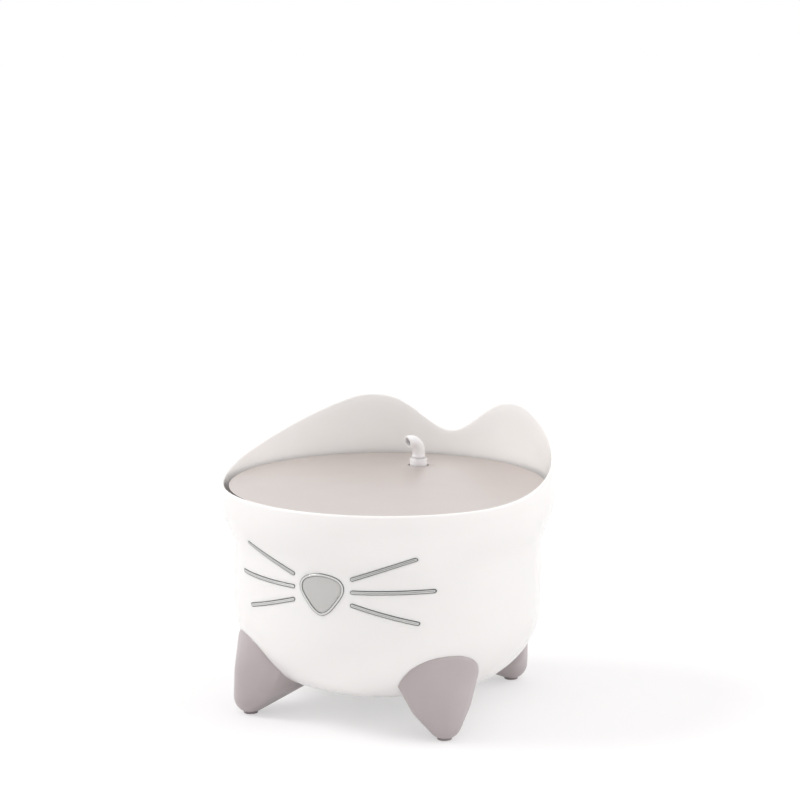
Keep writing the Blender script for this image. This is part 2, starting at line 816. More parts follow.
@dataclass
class Cords:
    """The supply cord: the lead in the bowl, the run down its back, the coil and the plug."""

    diameter: float = 3.2
    lead: tuple[Corner, ...] = (
        (-21.1, 23.1, 48.2), (-23, 20.7, 48.2), (-25.3, 17.9, 48.2), (-28.5, 14.5, 48.4), (-33, 11, 49),
        (-39, 10, 50), (-44, 13, 51.5), (-46.5, 19, 54), (-46, 26, 57), (-44, 33, 61), (-41, 40, 67),
        (-37, 47, 74), (-33, 53, 82), (-29, 58, 90), (-25.5, 62, 98), (-22.5, 65, 105.5), (-20, 68, 112),
        (-18.4, 71, 116.4), (-18, 74.5, 118), (-18, 80.5, 118),
    )  # fmt: skip
    run: tuple[Corner, ...] = (
        (-18, 80.5, 118), (-18, 84, 118), (-18, 87.8, 116.8), (-18, 90.8, 113.6), (-18, 92.4, 109),
        (-18, 93, 103), (-18, 93, 92), (-18, 93, 80), (-18, 93, 68), (-18, 93, 56), (-18, 93, 44),
        (-18, 93, 32), (-18, 93.1, 22), (-18, 93.8, 14.5), (-18, 95.6, 8.6), (-18, 98.6, 4.4),
        (-18, 103, 2.2), (-18, 108, 1.6), (-18, 114, 1.6), (-18, 119, 1.6),
    )  # fmt: skip
    tail: tuple[Corner, ...] = (
        (-44, 142.4, 11.2), (-50, 142.4, 10.2), (-56, 142.4, 7.4), (-61, 142.4, 5.2), (-66, 142.4, 4.2),
    )  # fmt: skip
    coil_centre: Flat = (-38.2, 122.2)
    coil_radius: float = 17.0
    coil_rows: int = 3
    coil_layers: int = 4
    steps_per_turn: int = 16
    crossing: float = 0.3
    left_off: float = 0.75
    lead_sides: int = 12
    lead_steps: int = 4

    def coil(self) -> list[Corner]:
        """The cord's middle line in the coil, wound inwards and outwards layer by layer."""
        lanes = []
        for layer in range(self.coil_layers):
            outwards = range(self.coil_rows) if layer % 2 == 0 else range(self.coil_rows - 1, -1, -1)
            for row in outwards:
                across = ((self.coil_rows - 1) / 2 - row) * self.diameter
                lanes.append((self.coil_radius + across, (layer + 0.5) * self.diameter))
        turns = len(lanes) - self.left_off
        points = []
        for k in range(1, int(turns * self.steps_per_turn) + 1):
            turn = k / self.steps_per_turn
            lane = min(int(turn), len(lanes) - 1)
            (r0, z0), (r1, z1) = lanes[lane], lanes[min(lane + 1, len(lanes) - 1)]
            move = float(ease((turn - lane - (1 - self.crossing)) / self.crossing))
            r, z = r0 + (r1 - r0) * move, z0 + (z1 - z0) * move
            a = 2 * math.pi * turn
            points.append((self.coil_centre[0] + r * math.cos(a), self.coil_centre[1] + r * math.sin(a), z))
        return points

    def build_run(self) -> None:
        """Lays the cord outside the bowl as one curve that ends in the plug."""
        entry = (self.coil_centre[0] + self.coil_radius + self.diameter, self.coil_centre[1], 1.6)
        points = [*self.run, entry, *self.coil(), *self.tail]
        data = bpy.data.curves.new("supply_cord", "CURVE")
        data.dimensions, data.resolution_u, data.use_fill_caps = "3D", 4, True
        data.bevel_depth, data.bevel_resolution = self.diameter / 2 * MM, 4
        spline = data.splines.new("BEZIER")
        spline.bezier_points.add(len(points) - 1)
        for knot, point in zip(spline.bezier_points, points):
            knot.co = Vector(point) * MM
            knot.handle_left_type = knot.handle_right_type = "AUTO"
        cord = linked("supply_cord", data)
        bpy.context.view_layer.update()
        dress(cord, "bowl", ("cord_run", "cord_coil"), "cord_jacket", CORD_WHITE)
        metres(self.run[0])

    def build_lead(self) -> None:
        """Sweeps the lead between the pump's gland and the grommet."""
        path = smooth_path(self.lead, self.lead_steps)
        lead = tube_along("pump_lead", path, self.diameter / 2, self.lead_sides)
        coat(lead, CORD_WHITE)
        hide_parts("cord_lead")
        metres(self.lead[-3])
        metres(self.lead[2])
        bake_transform(lead)
        metres(self.lead[0])

    def build(self) -> None:
        """Builds both lengths of cord."""
        self.build_run()
        self.build_lead()


# --- Bowl ---------------------------------------------------------------------------------------


@dataclass
class Bowl:
    """The moulded bowl: a round tub with a flared rim, two ears, support ribs and a cord bay."""

    radius: float = 98.0
    wall: float = 2.6
    base: float = 17.0
    base_round: float = 50.0
    flare_from: float = 104.0
    flare_to: float = 133.0
    flare: float = 8.3
    rim: float = 143.0
    ear: float = 183.0
    valley: float = 158.5
    rise_angle: float = 52.0
    ear_angle: float = 148.0
    ear_bias: float = 2.1
    ear_round: float = 1.3
    dip_angle: float = 146.0
    dip_bias: float = 1.45
    ear_blend: float = 4.0
    tray_seat: float = 133.3
    lip_seat: float = 129.2
    lip_step: float = 99.6
    rib_angles: tuple[float, ...] = (-40.0, 40.0, -113.5, 113.5)
    rib_depth: float = 5.5
    rib_width: float = 4.0
    rib_soft: float = 0.5
    bay_width: float = 73.0
    bay_y: float = 76.5
    beyond: float = 130.0
    cord_hole: Flat = (-18.0, 118.0)
    cord_hole_radius: float = 4.0
    table_y: float = 36.0
    table_radius: float = 30.0
    table_top: float = 26.0
    sides: int = 288

    @property
    def rim_radius(self) -> float:
        """Outer radius above the flare."""
        return self.radius + self.flare

    def flared(self, z: Value) -> Value:
        """Outer radius at a height above the round of the base."""
        return self.radius + self.flare * ease((z - self.flare_from) / (self.flare_to - self.flare_from))

    def outer(self, z: float) -> float:
        """Outer radius at a height."""
        above = self.base + self.base_round - z
        if above > 0:
            return self.radius - self.base_round + math.sqrt(max(self.base_round**2 - above**2, 0))
        return float(self.flared(z))

    def line(self, inset: float, top: float) -> list[Flat]:
        """The wall's profile from the axis to a height, moved inwards by the inset."""
        r = self.base_round - inset
        x, z = self.radius - self.base_round, self.base + self.base_round
        line = [(v, self.base + inset) for v in (0, 16, 32)]
        line += [(x + r * math.sin(a), z - r * math.cos(a)) for a in np.radians(np.linspace(0, 90, 19))]
        line += [(self.radius - inset, up) for up in np.linspace(z, self.flare_from, 7)[1:]]
        line += [(self.outer(up) - inset, up) for up in np.linspace(self.flare_from, self.flare_to, 15)[1:]]
        if top > self.flare_to:
            line.append((self.rim_radius - inset, top))
        return line

    def top(self, x: Row, y: Row) -> Row:
        """Height of the rim over a point of the plan."""
        t = np.degrees(np.arccos(np.clip(-y / self.rim_radius, -1, 1)))
        way = np.clip((t - self.rise_angle) / (self.ear_angle - self.rise_angle), 0, 1)
        climb = self.rim + (self.ear - self.rim) * (1 - (1 - way**self.ear_bias) ** self.ear_round)
        back = 180 - np.degrees(np.arcsin(np.clip(np.abs(x) / self.rim_radius, 0, 1)))
        fall = np.clip((back - self.dip_angle) / (180 - self.dip_angle), 0, 1)
        dip = self.ear - (self.ear - self.valley) * ease(fall**self.dip_bias)
        return soft_min(climb, dip, self.ear_blend)

    def shell(self) -> Object:
        """The wall itself, with a round lip that follows the ears."""
        a = around(self.sides)
        half = self.wall / 2
        middle = self.rim_radius - half
        crest = self.top(middle * np.cos(a), middle * np.sin(a)) - half

        def wall_rows(inset: float) -> list[Row]:
            """The rows of one side of the wall from the axis upwards."""
            rows = [ring(r, z, self.sides) for r, z in self.line(inset, 0)]
            for u in (0.12, 0.3, 0.5, 0.7, 0.88, 1.0):
                height = self.flare_to + (crest - self.flare_to) * u
                rows.append(ring(self.rim_radius - inset, height, self.sides))
            return rows

        lip = []
        for t in np.radians((25, 50, 70, 90, 110, 130, 155)):
            lip.append(ring(middle + half * math.cos(t), crest + half * math.sin(t), self.sides))
        return Shell().rows(wall_rows(0) + lip + wall_rows(self.wall)[::-1]).build("reservoir", 40)

    def core(self, inset: float, top: float) -> Object:
        """Everything inside the wall at some depth, as a closed solid."""
        return Shell().lathe([*self.line(inset, top), (0, top)], self.sides).build("core")

    def rib(self, angle: float) -> Object:
        """One upright rib with a round nose, stepped for the tray's lip."""
        inner = self.radius - self.wall - self.rib_depth
        half = self.rib_width / 2
        deep = self.wall / 2
        foot = [(r, z) for r, z in self.line(deep, 0) if r > inner + 0.5 and z < self.lip_seat - 1]
        rows = []
        for v in np.linspace(-half, half, 9):
            nose = inner + half - math.sqrt(max(half**2 - v * v, 0))
            across = nose - self.radius + self.base_round
            start = self.base + self.base_round - math.sqrt((self.base_round - deep) ** 2 - across**2)
            side = [
                (nose, start),
                *[(max(r, nose), z) for r, z in foot],
                (self.outer(self.lip_seat) - deep, self.lip_seat),
                (self.lip_step, self.lip_seat),
                (self.lip_step, self.tray_seat),
                (nose + self.rib_soft, self.tray_seat),
                (nose, self.tray_seat - self.rib_soft),
            ]
            rows.append(np.array([(r, v, z) for r, z in side]))
        return Shell().rows(rows, capped=True).moved(spin(angle - 90)).build("rib", 30)

    def bay(self) -> Object:
        """The block of the cord bay, kept within the wall and stepped for the tray's lip."""
        half, far, step = self.bay_width / 2, self.beyond, self.lip_step
        block = rounded_box("bay", (-half, self.bay_y, self.base), (half, far, self.tray_seat), 1.6, 0.8)
        carve(block, self.core(self.wall / 2, self.tray_seat + 5), Carve.KEEP)
        ledge = [(step, self.lip_seat, 0), (far, self.lip_seat, 0), (far, far + 10, 0), (step, far + 10, 0)]
        return carve(block, turned("step", ledge, self.sides, closed=True), Carve.CUT)

    def hollow(self) -> Object:
        """The room in the cord bay, open to the back and below."""
        half = self.bay_width / 2 - self.wall
        low = (-half, self.bay_y + self.wall, -10)
        return rounded_box("hollow", low, (half, self.beyond + 10, self.lip_seat - self.wall), 1.2, 0.6)

    def build(self) -> None:
        """Builds the bowl in one piece."""
        bowl = self.shell()
        carve(bowl, self.bay(), Carve.JOIN)
        carve(bowl, self.hollow(), Carve.CUT)
        face = Face(bowl=self)
        carve(bowl, face.plate("window_hole"), Carve.CUT)
        carve(bowl, face.whisker_slots(), Carve.CUT)
        place = Matrix.Translation((self.cord_hole[0], self.bay_y, self.cord_hole[1])) @ spin(-90, "X")
        carve(bowl, turned("drill", drum(self.cord_hole_radius, -2, 6), 48, place=place), Carve.CUT)
        for angle in self.rib_angles:
            carve(bowl, self.rib(angle), Carve.JOIN)
        table = drum(self.table_radius, self.base + 1, self.table_top, 1.4)
        carve(bowl, turned("pump_table", table, 96, (0, self.table_y)), Carve.JOIN, 32)
        dress(bowl, "bowl", "reservoir_bowl", "bowl_plastic", BOWL_WHITE)


# --- Face ---------------------------------------------------------------------------------------


def even(points: Row, count: int) -> Row:
    """Spaces a closed outline evenly."""
    loop = np.vstack([points, points[:1]])
    travel = np.concatenate([[0], np.cumsum(np.linalg.norm(np.diff(loop, axis=0), axis=1))])
    stations = np.linspace(0, travel[-1], count + 1)[:-1]
    return np.column_stack([np.interp(stations, travel, loop[:, k]) for k in (0, 1)])


@dataclass
class Face:
    """The nose-shaped level window with its frame, and the six whiskers.

    The nose is drawn round circles: their radii and places are shares of its height and width.
    """

    nose_z: float = 91.2
    width: float = 30.6
    height: float = 27.2
    corner: float = 0.275
    corner_drop: float = 1.6
    crown: float = 0.44
    flank: float = 0.24
    flank_out: float = 0.05
    flank_down: float = 0.2
    tip: float = 0.14
    swell: float = 0.12
    hole_inset: float = 3.2
    frame_dark: float = 0.42
    whisker_width: float = 2.5
    whisker_gap: float = 0.12
    whisker_in: float = 19.5
    whisker_out: float = 63.5
    whisker_short: float = 8.0
    whisker_dark: float = 0.21
    whiskers: tuple[Corner, ...] = ((11, 24, 1), (3, 3.5, 0), (-5, -16, 1))
    steps: int = 160
    softening: int = 60
    bowl: Bowl = field(default_factory=Bowl)

    def outline(self) -> tuple[Row, Row]:
        """The nose's outline, evenly spaced, with the outward direction at each point."""
        w, h = self.width / 2, self.height / 2
        corner, crown, flank, tip = (self.height * v for v in (self.corner, self.crown, self.flank, self.tip))
        circles = [(0.0, h - crown, crown), (0.0, tip - h, tip)]
        for side in (-1, 1):
            circles.append((side * (w - corner), h - corner - self.corner_drop, corner))
            circles.append((side * self.width * self.flank_out, -self.height * self.flank_down, flank))
        turn = np.linspace(0, 2 * np.pi, 1441)[:-1]
        ways = np.column_stack([np.cos(turn), np.sin(turn)])
        best = np.array([[c[0] * x + c[1] * z + c[2] for c in circles] for x, z in ways]).argmax(1)
        touch = np.array([np.array(circles[k][:2]) + circles[k][2] * way for k, way in zip(best, ways)])
        outline = even(touch, self.steps)
        for _ in range(self.softening):
            outline = (np.roll(outline, 1, 0) + 2 * outline + np.roll(outline, -1, 0)) / 4
        ahead = np.roll(outline, -1, 0) - np.roll(outline, 1, 0)
        out = np.column_stack([ahead[:, 1], -ahead[:, 0]]) / np.linalg.norm(ahead, axis=1)[:, None]
        return outline + out * self.swell, out

    def on_wall(self, flat: Row, lift: Value) -> Row:
        """Wraps points of the flat face on the bowl's wall, raised by lift."""
        z = self.nose_z + flat[:, 1]
        r = self.bowl.flared(z) + lift
        return np.column_stack([flat[:, 0], -np.sqrt(r**2 - flat[:, 0] ** 2), z])

    def plate(self, name: str) -> Object:
        """A closed plate of the nose's outline that passes through the bowl's wall."""
        points, ways = self.outline()
        x, z = (points - ways * self.hole_inset).T
        depths = (14 - self.bowl.radius, -4 - self.bowl.radius)
        rows = [np.column_stack([x, np.full(len(x), y), self.nose_z + z]) for y in depths]
        return Shell().rows(rows, capped=True).build(name)

    def darken(self, obj: Object, wall: Callable[[float], float], dark: float) -> None:
        """Gives the faces of a trim that are lower over the wall than a limit the dark plated edge."""
        for face in obj.data.polygons:
            lift = math.hypot(face.center.x, face.center.y) / MM - wall(face.center.z / MM)
            face.material_index = int(lift < dark)

    def build_frame(self) -> None:
        """The plated frame: a rounded bead with a bevel that falls to the pane."""
        points, ways = self.outline()
        section = [
            (0.12, -1.5), (0.12, 0.05), (0.2, 0.3), (0.48, 0.5), (0.62, 0.62), (1.0, 0.68), (1.4, 0.58),
            (1.66, 0.44), (1.84, 0.3), (2.0, 0.1), (2.0, -1.5),
        ]  # fmt: skip
        rows = [self.on_wall(points - ways * inset, lift) for inset, lift in section]
        bezel = Shell().rows(rows, closed=True).build("nose_bezel", 50)
        coat(bezel, TRIM_CHROME, TRIM_EDGE)
        self.darken(bezel, lambda z: self.bowl.radius, self.frame_dark)
        dress(bezel, "bowl", "nose_frame_ring", "trim_plastic")

    def build_pane(self) -> None:
        """The clear pane, slightly domed, with a step at the back that fills the wall."""
        points, ways = self.outline()

        def shrunk(inset: float, share: float, lift: float) -> Row:
            """The outline drawn in by an inset and then towards its middle."""
            return self.on_wall((points - ways * inset) * share, lift)

        dome = [(2.1, 1, 0.0), (2.5, 1, 0.22), (3.4, 1, 0.3)]
        dome += [(3.4, share, 0.3 + 0.05 * (1 - share)) for share in (0.75, 0.5, 0.25)]
        back = [(2.1, 1, -1.4), (3.35, 1, -1.5), (3.35, 1, -2.6), (3.4, 0.6, -2.6), (3.4, 0.3, -2.6)]
        middle = np.zeros((1, 2))
        rows = [self.on_wall(middle, 0.35), *[shrunk(*place) for place in dome[::-1]]]
        rows += [*[shrunk(*place) for place in back], self.on_wall(middle, -2.6)]
        pane = Shell().rows(rows).build("level_pane", 40)
        dress(pane, "bowl", "nose_window", "window_plastic", WINDOW_CLEAR)

    def whisker(self, row: Corner, side: int, section: Sequence[Flat], grow: float = 0.0) -> Object:
        """One straight whisker with round ends that follows the wall and its flare.

        Args:
            row: the whisker's height at the nose and at its tip, and how much shorter it is.
            side: -1 for the left of the face, 1 for the right.
            section: half of its cross-section, as (inset, lift) from its edge to its middle.
            grow: how much wider than its nominal width it is made, all round.

        Returns:
            The whisker as a closed object.
        """
        start = np.array([self.whisker_in, row[0]])
        end = np.array([self.whisker_out - row[2] * self.whisker_short, row[1]])
        along = (end - start) / np.linalg.norm(end - start)
        across = np.array([-along[1], along[0]])
        line = [start + (end - start) * s for s in np.linspace(0, 1, 25)]
        turns = np.radians(np.linspace(90, -90, 13))[1:-1]
        edge = line + [end] * len(turns) + line[::-1] + [start] * len(turns)
        cap = [along * math.cos(t) + across * math.sin(t) for t in turns]
        ways = [across] * len(line) + cap + [-across] * len(line) + [-way for way in cap]
        half = self.whisker_width / 2 + grow
        flat, out = np.array(edge) * (side, 1), np.array(ways) * (side, 1)
        rows = [self.on_wall(flat + out * (half - inset), lift) for inset, lift in section]
        return Shell().rows(rows, closed=True).build("whisker", 45)

    def whisker_slots(self) -> Object:
        """What the bowl's wall is cut with for the whiskers."""
        half = self.whisker_width / 2 + self.whisker_gap
        pocket = [(0.0, -1.0), (0.0, 3.0), (half, 3.0), (half, -1.0)]
        grow, places = self.whisker_gap, [(row, side) for side in (-1, 1) for row in self.whiskers]
        return join("whisker_slots", [self.whisker(*place, pocket, grow) for place in places], 45)

    def build_whiskers(self) -> None:
        """Three whiskers on each side: a clear bead between two dark plated edges."""
        half = self.whisker_width / 2
        bead = [
            (0.1, -0.9), (0.1, -0.05), (0.16, 0.14), (0.34, 0.22), (0.4, 0.2), (0.5, 0.3), (0.8, 0.34),
            (half, 0.35), (half, -0.9),
        ]  # fmt: skip
        for side, name in ((-1, "whiskers_left"), (1, "whiskers_right")):
            group = join("face_" + name, [self.whisker(row, side, bead) for row in self.whiskers], 45)
            coat(group, TRIM_CLEAR, TRIM_EDGE)
            self.darken(group, self.bowl.outer, self.whisker_dark)
            dress(group, "bowl", name, "trim_plastic")

    def build(self) -> None:
        """Builds the whole face."""
        self.build_frame()
        self.build_pane()
        self.build_whiskers()


# --- Feet ---------------------------------------------------------------------------------------


@dataclass
class Feet:
    """Four soft three-cornered feet, cut to the bowl's round."""

    front_angle: float = 46.0
    rear_angle: float = 141.0
    toe: float = 92.0
    toe_round: float = 10.5
    width: float = 52.0
    height: float = 53.0
    corner: float = 4.0
    pad_show: float = 0.4
    pad_radius: float = 4.5
    screw_at: float = 74.0
    screw_sink: float = 3.35
    screw_seat: float = 12.0
    shoulder: float = 0.64
    crest: float = 0.9
    chest: float = 18.0
    heel: float = 6.0
    heel_back: float = 33.0
    cheek: float = 9.0
    cheek_back: float = 6.0
    cheek_out: float = 0.37
    cheek_drop: float = 13.0
    squareness: float = 0.87
    voxel: float = 0.8
    ball_points: int = 700
    soften_loss: float = 0.35
    soften_steps: int = 24
    bowl: Bowl = field(default_factory=Bowl)

    def balls(self) -> list[tuple[float, float, float, float]]:
        """The balls that the foot's skin is drawn over, outwards, sideways and up, with their radii."""
        wide, low = self.width / 2 - self.corner, self.height * self.shoulder
        tall = self.height - self.corner + self.crest - low
        found = [
            (self.toe, 0.0, self.toe_round + self.pad_show, self.toe_round),
            (self.toe + self.toe_round - self.chest - 1, 0.0, self.height / 2, self.chest),
            (self.toe - self.heel_back, 0.0, self.bowl.base + 3, self.heel),
        ]
        for s in (-1, 1):
            beside = s * (self.width * self.cheek_out - self.cheek)
            found.append((self.toe - self.cheek_back, beside, low - self.cheek_drop, self.cheek))
            for t in np.radians(np.linspace(0, 90, 9)):
                out = wide * math.cos(t) ** self.squareness
                up = low + tall * math.sin(t) ** self.squareness
                away = math.sqrt(self.bowl.outer(up) ** 2 - out**2) - self.corner / 2
                found.append((away, s * out, up, self.corner))
        return [(x, y, z, r + self.soften_loss) for x, y, z, r in found]

    def skin(self) -> Object:
        """The smooth skin over the balls, in the foot's own frame."""
        k = np.arange(self.ball_points) + 0.5
        tilt, turn = np.arccos(1 - 2 * k / self.ball_points), np.pi * (1 + 5**0.5) * k
        sphere = np.column_stack([np.cos(turn) * np.sin(tilt), np.sin(turn) * np.sin(tilt), np.cos(tilt)])
        cloud = np.vstack([sphere * r + (x, y, z) for x, y, z, r in self.balls()])
        bm = bmesh.new()
        for point in cloud * MM:
            bm.verts.new(point)
        inside = set(bmesh.ops.convex_hull(bm, input=bm.verts)["geom_interior"])
        bmesh.ops.delete(bm, geom=[v for v in inside if isinstance(v, bmesh.types.BMVert)], context="VERTS")
        mesh = bpy.data.meshes.new("foot")
        bm.to_mesh(mesh)
        bm.free()
        foot = linked("foot", mesh)
        remesh = foot.modifiers.new("even", "REMESH")
        remesh.mode, remesh.voxel_size = "VOXEL", self.voxel * MM
        smooth = foot.modifiers.new("soften", "SMOOTH")
        smooth.factor, smooth.iterations = 0.5, self.soften_steps
        return settle(foot)

    def build(self) -> None:
        """Builds one foot and sets it at the four corners."""
        foot = self.skin()
        mend(foot.data)
        gap, tall, sink, seat = 0.1, 150, self.screw_sink, self.screw_seat
        carve(foot, self.bowl.core(-gap, tall), Carve.CUT)
        pad = drum(self.pad_radius + gap, -5, 1.7, 0.2)
        carve(foot, turned("pad_seat", pad, 48, (self.toe, 0)), Carve.CUT)
        sunk = [(0, -5, 0), (sink, -5, 0), (sink, seat, 0), (1.6, seat, 0), (1.6, 18, 0), (0, 18, 0)]
        carve(foot, turned("sink", sunk, 48, (self.screw_at, 0)), Carve.CUT)
        for end, angle in (("front", self.front_angle), ("rear", self.rear_angle)):
            for hand, s in (("left", -1), ("right", 1)):
                name = f"foot_{end}_{hand}"
                mesh = foot.data.copy()
                mesh.transform(spin(s * angle - 90))
                dress(shade(linked("soft_" + name, mesh), 32), "bowl", name, "foot_plastic", FOOT_MAUVE)
        bpy.data.objects.remove(foot)


# --- Tray ---------------------------------------------------------------------------------------


@dataclass
class Tray:
    """The filter tray: flange, dished basin, square well with a back bay, drain, cup and pipe."""

    top: float = 136.0
    radius: float = 101.9
    wall: float = 2.4
    lip: float = 6.5
    dish_centre: float = -24.0
    dish_radius: float = 70.0
    dish_depth: float = 13.0
    dish_soft: float = 0.5
    well_centre: float = -43.0
    well_width: float = 88.0
    well_corner: float = 16.0
    well_depth: float = 22.0
    well_foot: float = 1.6
    well_brow: float = 1.4
    well_under: float = 2.0
    well_clear: float = 2.0
    lobe_y: float = 3.0
    lobe_radius: float = 11.0
    lobe_blend: float = 2.5
    drain: float = 15.0
    collar: float = 3.0
    land: float = 1.5
    finger: Corner = (60.0, 41.0, 11.0)
    spout_y: float = 50.0
    cup_radius: float = 19.5
    cup_bore: float = 9.6
    pipe_z: float = 94.3
    pipe_radius: float = 7.6
    pipe_bore: float = 5.6
    sides: int = 384

    def well_field(self, x: Row, y: Row) -> Row:
        """Distance from the well's outline, negative inside."""
        square = rounded_square(x, y - self.well_centre, self.well_width / 2, self.well_corner)
        lobe = np.hypot(x, y - self.lobe_y) - self.lobe_radius
        return soft_min(square, lobe, self.lobe_blend)

    def dish_field(self, x: Row, y: Row) -> Row:
        """Distance from the basin's edge, kept clear of the well's corners."""
        dish = np.hypot(x, y - self.dish_centre) - self.dish_radius
        return soft_min(dish, self.well_field(x, y) - self.well_clear, 2.0)

    def edge(self, shape: Field, level: float) -> Row:
        """Distance from the well's centre to where a field reaches a level, all round."""
        return reach(lambda x, y: shape(x, y) < level, self.sides, (0, self.well_centre))

    def surface(self, x: Row, y: Row) -> Row:
        """Height of the tray's top over a point: the ball-shaped basin, and the flange round it."""
        ball = (self.dish_radius**2 + self.dish_depth**2) / (2 * self.dish_depth)
        off = np.minimum(np.hypot(x, y - self.dish_centre), 100)
        bowl = self.top - self.dish_depth + ball - np.sqrt(ball**2 - off**2)
        return soft_min(bowl, np.full_like(bowl, self.top), self.dish_soft)

    def shell(self) -> Object:
        """The tray's skin, from the drain over the top to the underside and back."""
        a = around(self.sides)
        floor, under, outside = self.top - self.well_depth, self.top - self.wall, self.radius
        foot, brow, keel = self.well_foot, self.well_brow, self.well_under
        sole = floor - self.wall

        def row(dist: Value, height: Field | float) -> Row:
            """A ring round the well's centre at a distance and a height."""
            x, y = dist * np.cos(a), self.well_centre + dist * np.sin(a)
            z = height(x, y) if callable(height) else np.full(self.sides, float(height))
            return np.column_stack([x, y, z])

        def rim(radius: float) -> Row:
            """The distance to a circle round the bowl's axis."""
            return self.edge(lambda x, y: np.hypot(x, y) - radius, 0)

        def well(level: float) -> Row:
            """The distance to the well's outline, or to one beside it."""
            return self.edge(self.well_field, level)

        def below(x: Row, y: Row) -> Row:
            """Height of the underside."""
            return np.minimum(self.surface(x, y) - self.wall * 1.05, under)

        lip = ((0.15, -0.15), (0.5, 0), (1.9, 0), (2.25, -0.15), (2.4, -0.5))
        rows = [row(self.drain, sole), row(self.drain, floor + self.collar - 0.5)]
        rows += [row(self.drain + s, floor + self.collar + z) for s, z in lip]
        rows += [row(self.drain + s, floor + z) for s, z in ((2.4, 0.5), (2.55, 0.15), (2.9, 0))]
        rows += [row(well(-d), floor) for d in (9.0, 3.0)]
        for t in np.radians((0, 20, 45, 70, 90)):
            rows.append(row(well(-foot + foot * math.sin(t)), floor + foot * (1 - math.cos(t))))
        for s in (0.35, 0.7):
            low, short = floor + foot, foot + brow + floor
            rows.append(row(well(0), lambda x, y: low + (self.surface(x, y) - short) * s))
        for t in np.radians((0, 25, 50, 72, 90)):
            drop = brow * (1 - math.sin(t))
            rows.append(row(well(brow * (1 - math.cos(t))), lambda x, y: self.surface(x, y) - drop))
        inner, outer = well(brow), self.edge(self.dish_field, 0)
        rows += [row(inner + (outer - inner) * s, self.surface) for s in np.linspace(0, 1, 27)[1:]]
        shore, brink = outer + self.land, rim(outside - 1.0)
        rows += [row(shore + (brink - shore) * s, self.surface) for s in (0, 0.1, 0.3, 0.6, 1.0)]
        for t in np.radians((30, 60, 90)):
            rows.append(row(rim(outside - 1.0 + math.sin(t)), self.top - 1 + math.cos(t)))
        for inset, short in ((0.0, 0.4), (0.15, 0.12), (0.45, 0), (1.55, 0), (1.85, 0.12), (2.0, 0.4)):
            rows.append(row(rim(outside - inset), self.top - self.lip + short))
        rows.append(row(rim(outside - 2.0), under))
        far, near = rim(outside - 6.0), well(self.wall)
        rows += [row(near + (far - near) * s, below) for s in np.linspace(1, 0, 30)]
        for s in (0.6, 0.3, 0.0):
            rows.append(row(near, lambda x, y: sole + keel + (below(x, y) - sole - keel) * s))
        for t in np.radians((30, 60, 90)):
            rows.append(row(well(self.wall - keel * (1 - math.cos(t))), sole + keel * (1 - math.sin(t))))
        rows.append(row(well(-8.0), sole))
        return Shell().rows(rows, closed=True).build("filter_tray_shell", 30)

    def build(self) -> None:
        """Builds the tray in one piece with its holes."""
        tray = self.shell()
        at, pipe, cup, bore = (0.0, self.spout_y), self.pipe_radius, self.cup_radius, self.pipe_bore
        seat = [
            (0, self.pipe_z, 0), (pipe, self.pipe_z, 0.4), (pipe, 127.0, 1.0), (12, 127.8, 0.6),
            (12, 129.3, 0.3), (cup, 129.5, 0.4), (cup, self.top + 0.03, 0.25), (0, self.top + 0.03, 0),
        ]  # fmt: skip
        carve(tray, turned("cup", seat, 96, at), Carve.JOIN)
        hollow = [
            (0, 90, 0), (bore, 90, 0), (bore, 130, 0), (self.cup_bore, 130, 0.4), (self.cup_bore, 135.6, 0),
            (10.1, 136.2, 0), (10.1, 140, 0), (0, 140, 0),
        ]  # fmt: skip
        carve(tray, turned("bore", hollow, 96, at), Carve.CUT)
        x, y, r = self.finger
        flare = ((0, -1.1), (0.12, -0.6), (0.45, -0.2), (1.0, 0.05), (1.0, 4))
        hole = [(0, 120, 0), (r, 120, 0), *[(r + s, self.top + z, 0) for s, z in flare], (0, 140, 0)]
        for s in (-1, 1):
            carve(tray, turned("finger_hole", hole, 96, (s * x, y)), Carve.CUT)
        dress(shade(tray, 30), "tray", "filter_tray", "bowl_plastic", TRAY_WHITE)


